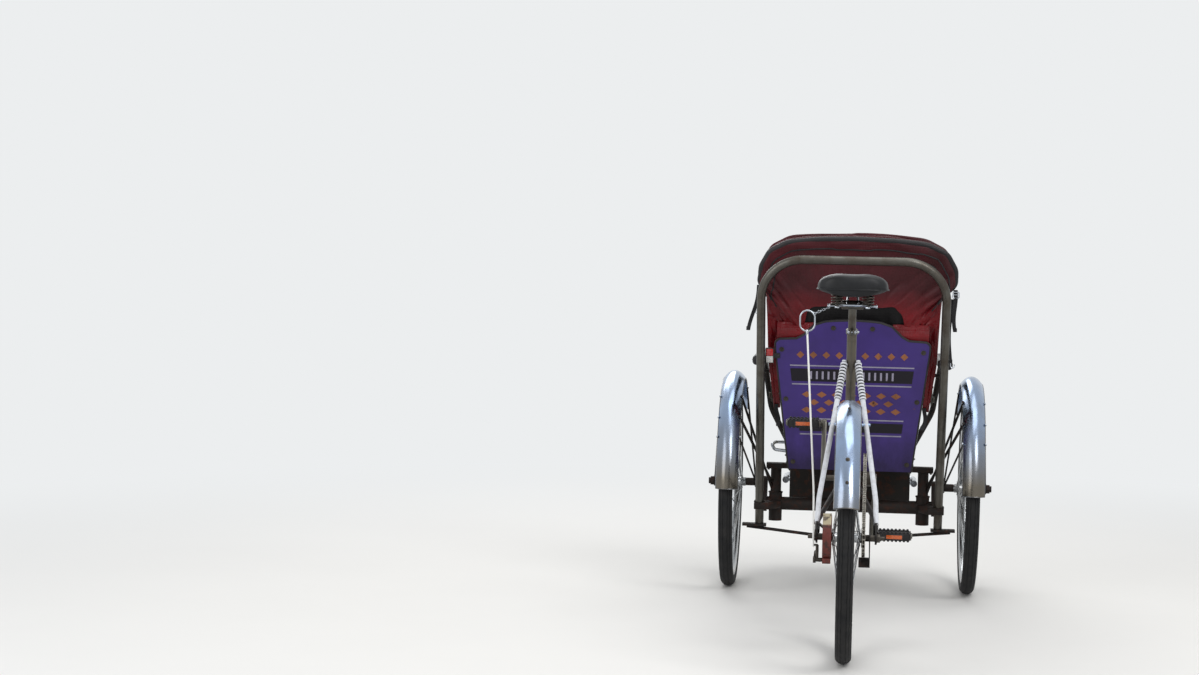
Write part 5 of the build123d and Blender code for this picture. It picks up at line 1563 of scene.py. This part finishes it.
def make_footwell():
    """Ribbed rubber mat on the floor, a chromed rim along the sides and the toe, and the rivets below it."""
    f = FRONT_AXLE.y
    made = [block((0, f + 0.305, 0.2712), (0.372, 0.118, 0.0028), 0.001, 2)]
    for k in range(17):
        made.append(block((-0.176 + k * 0.022, f + 0.305, 0.2734), (0.0080, 0.112, 0.0026), 0.0011, 2))
    finished(made, "footwell_mat", "floor_mat", "cart")
    right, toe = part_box("footwell")[1].xy
    x, y, z = right - 0.004, toe - 0.004, 0.4105
    rims = [[(-x, f + 0.243, z), (-x, y, z)], [(x, f + 0.243, z), (x, y, z)], [(-x, y, z), (x, y, z)]]
    finished([swept(rim, 0.0052, sides=3) for rim in rims], "footwell_rim", "fender_chrome", "cart",
             (), 60)
    made = []
    for k in range(5):
        for side in (-1, 1):
            made.append(stud(Vector((side * right, f + 0.262 + k * 0.029, 0.385)), Vector((side, 0, 0)), 0.0022, 0.0042,
                             14, 0.0009))
    finished(made, "footwell_rivets", "satin_steel", "cart")


def make_reflector():
    """Two-part tail reflector: red lens over white in a black moulded tray, on a riveted bracket."""
    def slab(x_low, x_high, low, high, base, height, bevel):
        corners = ((x_low, low), (x_high, low), (x_high, high), (x_low, high))
        return plate([back_point(x, up, base) for x, up in corners], BACK_OUT, height, bevel)

    tray = [slab(-0.268, -0.242, 0.356, 0.406, 0.013, 0.0052, 0.0016),
            slab(-0.267, -0.223, 0.371, 0.387, 0.0102, 0.0030, 0.0008),
            stud(back_point(-0.230, 0.379, 0.0130), BACK_OUT, 0.0025, 0.0042, 16, 0.001)]
    finished(tray, "reflector_tray", "black_plastic", "cart", ("reflector",))
    for name, low, high in (("red", 0.381, 0.4035), ("white", 0.3585, 0.3795)):
        lens = slab(-0.2655, -0.2445, low, high, 0.0180, 0.0018, 0.0006)
        finished(lens, f"reflector_lens_{name}", f"reflector_{name}", "cart")


def make_push_bar():
    """One length of drawn tube bent twice, and welded into its gussets."""
    rise = cos(PUSH_LEAN)
    top = (1.062 - 0.214) / rise
    corners = [push_point(side * PUSH_HALF, up, 0) for side, up in ((-1, 0.002), (-1, top), (1, top), (1, 0.002))]
    route = rounded_route(corners, 0.130, 20)
    finished(swept(route, 0.0135, sides=8), "push_bar_tube", "satin_steel", "cart", ("push_bar",), 60)

    # Gusset plates between beam and bar
    bar_y = PUSH_ORIGIN.y
    outline = ((0.216, PIVOT_Y + 0.004), (0.2615, PIVOT_Y + 0.004), (0.2615, PIVOT_Y - 0.030), (0.299, bar_y - 0.008),
               (0.299, bar_y - 0.042), (0.250, bar_y - 0.042), (0.216, PIVOT_Y - 0.040))
    axis = push_point(0, 1, 0) - push_point(0, 0, 0)
    made = []
    for side in (-1, 1):
        made.append(plate([Vector((side * x, y, BEAM_Z - 0.011)) for x, y in outline], (0, 0, 1), 0.022, 0.0022))
        made.append(weld_bead(push_point(side * PUSH_HALF, (BEAM_Z + 0.012 - 0.214) / rise, 0), axis, 0.0150, 0.0030))
    finished(made, "push_bar_gussets", "beam_rust", "cart")


def make_underframe():
    """Weld beads and bolts on the beam, the posts and the stub axle brackets, and caps on the axles."""
    beads, places = [], []
    for side in (-1, 1):
        for z, radius, lump in ((0.310, 0.0205, 0.0028), (0.3875, 0.0172, 0.0026)):
            beads.append(weld_bead((side * POST_X, PIVOT_Y, z), (0, 0, 1), radius, lump))
        for x, dy in ((0.190, -0.012), (0.190, 0.012), (0.258, 0.0)):
            places.append(((side * x, PIVOT_Y + dy, 0.388), (0, 0, -1)))
        bracket = Vector((0, PIVOT_Y + 0.020, 0.300))
        for angle in (35, 145):
            places.append((on_wheel(bracket, side * 0.2860, 0.013, angle), (side, 0, 0)))
    finished(beads, "beam_welds", "beam_rust", "cart")
    finished(nuts(places, 0.0062, 0.0040), "beam_bolts", "drive_steel", "cart")
    caps = [pin(FRONT_AXLE, side * 0.4465, side * 0.4515, 0.0088, 24, 0.0018) for side in (-1, 1)]
    finished(caps, "axle_end_caps", "fender_chrome", "cart")


def make_grab_handle():
    """Bent chromed bar on the left seat side, near the push bar."""
    route = ((-0.196, -0.142, 0.452), (-0.238, -0.142, 0.456), (-0.246, -0.128, 0.470), (-0.238, -0.075, 0.474),
             (-0.200, -0.072, 0.474))
    bar = swept([(x, FRONT_AXLE.y + y, z) for x, y, z in route], 0.0052, 0.012)
    finished(bar, "seat_side_handle", "fender_chrome", "cart")


KEPT_FINISHES = {
    "main_tube": "frame_dark", "kingpin": "satin_steel", "seat_tube": "post_steel", "chain_stays": "frame_dark",
    "seat_stays": "frame_white", "rear_axle": "drive_steel", "rear_sprocket": "drive_steel",
    "chainring": "drive_steel", "chain_guard": "frame_dark", "axle_beam": "beam_rust",
    "stub_axle_left": "beam_rust", "stub_axle_right": "beam_rust", "tie_rods": "seat_base_dark",
    "seat_base": "seat_base_dark", "side_panel_left": "seat_side", "side_panel_right": "seat_side",
    # The footwell takes the dark underframe enamel as painted shade under the seat
    "back_panel": "panel_purple", "footwell": "seat_base_dark", "armrest_left": "frame_dark",
    "armrest_right": "frame_dark", "bumper_bar": "fender_chrome",
}


def finish_cad_nodes():
    """Gives each CAD node that stays visible its finish."""
    for name, finish in KEPT_FINISHES.items():
        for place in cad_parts[name].material_slots:
            place.material = FINISHES[finish]


def background_rays(tree):
    """1 where the camera, a mirror or a glass looks, 0 for the light that falls on the object."""
    rays = add_node(tree, "LightPath").outputs
    mirror = calculated(tree, "MAXIMUM", rays["Is Camera Ray"], rays["Is Glossy Ray"])
    return calculated(tree, "MAXIMUM", mirror, rays["Is Transmission Ray"])


def placed(name, data, location):
    holder = bpy.data.objects.new(name, data)
    bpy.context.scene.collection.objects.link(holder)
    holder.location = location
    return holder


def make_stage():
    """Pale floor that runs out into the pale backdrop, four soft lamps and the camera at the photograph's place."""
    scene = bpy.context.scene
    scene.view_settings.view_transform = "Standard"
    pale = colour("#eceeef")

    look = Look("Studio floor, painted", Roughness=0.9)
    look.paint(look.speckle(1.2), "#dedcd8", "#e4e2de")
    tree = look.tree
    # The floor runs out into the pale backdrop 1.3 to 4.5 m from the object
    reach = add_node(tree, "VectorMath", operation="LENGTH", links=[(look.place, 0)])
    far = add_node(tree, "MapRange", links=[(reach.outputs["Value"], "Value")], interpolation_type="SMOOTHSTEP",
                   From_Min=1.3, From_Max=4.5)
    share = calculated(tree, "MULTIPLY", far.outputs["Result"], background_rays(tree))
    glow = add_node(tree, "Emission", Color=pale, Strength=1.0)
    mixer = add_node(tree, "MixShader", links=[(share, 0), (look.shader.outputs[0], 1), (glow.outputs[0], 2)])
    tree.links.new(mixer.outputs[0], tree.nodes["Material Output"].inputs["Surface"])
    deselect()
    bpy.ops.mesh.primitive_plane_add(size=300)
    floor = bpy.context.object
    floor.name = "studio_floor"
    floor.data.materials.append(look.material)

    world = scene.world or bpy.data.worlds.new("Studio")
    scene.world = world
    world.use_nodes = True
    tree = world.node_tree
    tree.nodes.clear()
    soft = add_node(tree, "Background", Color=colour("#e3e7ec"), Strength=0.6)
    seen = add_node(tree, "Background", Color=pale, Strength=1.0)
    blend = add_node(tree, "MixShader", links=[(background_rays(tree), 0), (soft.outputs[0], 1), (seen.outputs[0], 2)])
    add_node(tree, "OutputWorld", links=[(blend.outputs[0], "Surface")])

    for name, location, aim, size, watts in (
        ("key_lamp", (2.8, -3.4, 4.2), (0, -0.1, 0.6), 2.6, 135),
        ("fill_lamp", (-3.6, -3.0, 2.4), (0, -0.1, 0.6), 3.2, 72),
        ("front_lamp", (-1.5, 4.2, 3.4), (0, 0.2, 0.6), 3.0, 81),
        ("top_lamp", (0.4, 0.3, 4.6), (0, 0, 0.5), 3.2, 63),
    ):
        lamp = bpy.data.lights.new(name, "AREA")
        lamp.energy = watts
        lamp.size = size
        holder = placed(name, lamp, location)
        holder.rotation_euler = (Vector(aim) - Vector(location)).to_track_quat("-Z", "Y").to_euler()

    camera = bpy.data.cameras.new("photo_camera")
    camera.sensor_width = 36
    camera.lens = 72.06
    holder = placed("photo_camera", camera, (0.026, REAR_AXLE.y - 6.413, 1.166))
    turn = (Matrix.Rotation(radians(6.229), 4, "Z") @ Matrix.Rotation(radians(90 - 2.775), 4, "X")
            @ Matrix.Rotation(radians(1.205), 4, "Z"))
    holder.rotation_euler = turn.to_euler()
    scene.camera = holder


class RickshawSettings(bpy.types.PropertyGroup):
    """Colours and sizes that a user may change before the pieces are made."""

    hood_colour: bpy.props.FloatVectorProperty(
        name="Hood colour", description="Colour of the coated hood cloth", subtype="COLOR", size=4, min=0, max=1,
        default=colour("#7c1018"),
    )
    panel_colour: bpy.props.FloatVectorProperty(
        name="Panel colour", description="Colour of the back panel's enamel", subtype="COLOR", size=4, min=0, max=1,
        default=colour("#3e2e70"),
    )
    seat_loft: bpy.props.FloatProperty(
        name="Seat loft", description="How far the stuffing may push the seat covers out", unit="LENGTH", min=0.0,
        max=0.03, default=0.016,
    )


def expect(*names):
    """Stops the script if a piece that an operator promises is missing."""
    for name in names:
        if name not in bpy.data.objects:
            raise RuntimeError(f"{name} was not made")


class Undoable:
    bl_options = {"REGISTER", "UNDO"}


class RICKSHAW_OT_finishes(Undoable, bpy.types.Operator):
    """Makes every finish and gives the frame's visible nodes theirs"""

    bl_idname = "rickshaw.finishes"
    bl_label = "Finishes"

    def execute(self, context):
        make_finishes(context.scene.rickshaw)
        finish_cad_nodes()
        return {"FINISHED"}


class RICKSHAW_OT_wheels(Undoable, bpy.types.Operator):
    """Tyres, chromed rims, crossed spokes and hubs of the three wheels"""

    bl_idname = "rickshaw.wheels"
    bl_label = "Wheels"

    def execute(self, context):
        for label, centre, body, ends, bore in WHEELS:
            make_tyre(label, centre, body)
            make_rim(label, centre, body)
            make_spokes(label, centre, body)
            make_hub(label, centre, body, ends, bore)
        return {"FINISHED"}


class RICKSHAW_OT_mudguards(Undoable, bpy.types.Operator):
    """Chromed mudguards with their beads, bolts, braces and stays"""

    bl_idname = "rickshaw.mudguards"
    bl_label = "Mudguards"

    def execute(self, context):
        make_rear_fender()
        make_front_fenders()
        expect("rear_fender_skin", "front_fender_skin_left", "front_fender_skin_right")
        return {"FINISHED"}


class RICKSHAW_OT_saddle(Undoable, bpy.types.Operator):
    """Sprung saddle on its post and clamp"""

    bl_idname = "rickshaw.saddle"
    bl_label = "Saddle"

    def execute(self, context):
        make_saddle()
        make_saddle_springs()
        make_seat_post()
        expect("saddle_skin", "saddle_wires", "seat_post_steel")
        return {"FINISHED"}


class RICKSHAW_OT_rear_frame(Undoable, bpy.types.Operator):
    """Taped stays, weld beads and axle nuts of the rider's frame"""

    bl_idname = "rickshaw.rear_frame"
    bl_label = "Rear frame"

    def execute(self, context):
        make_stays()
        make_frame_fittings()
        expect("stay_tape_turns", "rear_axle_nuts")
        return {"FINISHED"}


class RICKSHAW_OT_brake(Undoable, bpy.types.Operator):
    """Drum, band, lever and the pull wire with its ring"""

    bl_idname = "rickshaw.brake"
    bl_label = "Brake"

    def execute(self, context):
        make_brake()
        make_pull_rod()
        expect("brake_band_skin", "brake_drum_shell", "pull_wire_sleeve", "pull_ring_chrome")
        return {"FINISHED"}


class RICKSHAW_OT_drive(Undoable, bpy.types.Operator):
    """Roller chain, cranks and rubber pedals"""

    bl_idname = "rickshaw.drive"
    bl_label = "Drive"

    def execute(self, context):
        make_chain()
        make_cranks()
        make_pedals()
        return {"FINISHED"}


class RICKSHAW_OT_hood(Undoable, bpy.types.Operator):
    """Folded hood with its bows, binding, a black lining as painted shade, irons and straps"""

    bl_idname = "rickshaw.hood"
    bl_label = "Hood"

    def execute(self, context):
        make_hood()
        make_hood_bows()
        make_hood_linings()
        make_hood_irons()
        make_straps()
        expect("hood_folds", "hood_shade_lining", "hood_iron_bars", "hood_straps")
        return {"FINISHED"}


class RICKSHAW_OT_back_panel(Undoable, bpy.types.Operator):
    """Painted pattern, trim, bolts and reflector of the back panel"""

    bl_idname = "rickshaw.back_panel"
    bl_label = "Back panel"

    def execute(self, context):
        make_panel()
        make_reflector()
        expect("panel_edge_trim", "panel_bands", "reflector_tray")
        return {"FINISHED"}


class RICKSHAW_OT_seat(Undoable, bpy.types.Operator):
    """Stuffed cushion, buttoned backrest and padded armrests"""

    bl_idname = "rickshaw.seat"
    bl_label = "Seat"

    def execute(self, context):
        make_cushion()
        make_backrest()
        make_armrests()
        expect("cushion_cover", "backrest_cover", "armrest_pad_skin_left", "armrest_pad_skin_right")
        return {"FINISHED"}


class RICKSHAW_OT_seat_body(Undoable, bpy.types.Operator):
    """Trim of the seat sides, the footwell and the grab handle"""

    bl_idname = "rickshaw.seat_body"
    bl_label = "Seat body"

    def execute(self, context):
        make_seat_sides()
        make_footwell()
        make_grab_handle()
        expect("footwell_mat", "seat_side_handle")
        return {"FINISHED"}


class RICKSHAW_OT_underframe(Undoable, bpy.types.Operator):
    """Push bar with its gussets, and the welds and bolts of the axle beam"""

    bl_idname = "rickshaw.underframe"
    bl_label = "Push bar and underframe"

    def execute(self, context):
        make_push_bar()
        make_underframe()
        expect("push_bar_tube", "beam_welds")
        return {"FINISHED"}


class RICKSHAW_OT_stage(Undoable, bpy.types.Operator):
    """Pale floor, soft lamps and the photograph's camera"""

    bl_idname = "rickshaw.stage"
    bl_label = "Stage"

    def execute(self, context):
        make_stage()
        if context.scene.camera is None:
            raise RuntimeError("the camera was not made")
        return {"FINISHED"}


OPERATORS = (
    RICKSHAW_OT_finishes, RICKSHAW_OT_wheels, RICKSHAW_OT_mudguards, RICKSHAW_OT_saddle, RICKSHAW_OT_rear_frame,
    RICKSHAW_OT_brake, RICKSHAW_OT_drive, RICKSHAW_OT_hood, RICKSHAW_OT_back_panel, RICKSHAW_OT_seat,
    RICKSHAW_OT_seat_body, RICKSHAW_OT_underframe, RICKSHAW_OT_stage,
)


class RICKSHAW_PT_dressing(bpy.types.Panel):
    """Lists the pieces and the values that they are made from"""

    bl_idname = "RICKSHAW_PT_dressing"
    bl_label = "Cycle Rickshaw"
    bl_space_type = "VIEW_3D"
    bl_region_type = "UI"
    bl_category = "Rickshaw"

    def draw(self, context):
        settings = context.scene.rickshaw
        column = self.layout.column()
        column.prop(settings, "hood_colour")
        column.prop(settings, "panel_colour")
        column.prop(settings, "seat_loft")
        column.separator()
        for operator in OPERATORS:
            column.operator(operator.bl_idname)


CLASSES = (RickshawSettings, *OPERATORS, RICKSHAW_PT_dressing)


def register():
    for each in CLASSES:
        bpy.utils.register_class(each)
    bpy.types.Scene.rickshaw = bpy.props.PointerProperty(type=RickshawSettings)


def unregister():
    del bpy.types.Scene.rickshaw
    for each in reversed(CLASSES):
        bpy.utils.unregister_class(each)


def main():
    register()
    bpy.ops.rickshaw.finishes()
    bpy.ops.rickshaw.wheels()
    bpy.ops.rickshaw.mudguards()
    bpy.ops.rickshaw.saddle()
    bpy.ops.rickshaw.rear_frame()
    bpy.ops.rickshaw.brake()
    bpy.ops.rickshaw.drive()
    bpy.ops.rickshaw.hood()
    bpy.ops.rickshaw.back_panel()
    bpy.ops.rickshaw.seat()
    bpy.ops.rickshaw.seat_body()
    bpy.ops.rickshaw.underframe()
    bpy.ops.rickshaw.stage()


if __name__ == "__main__":
    main()
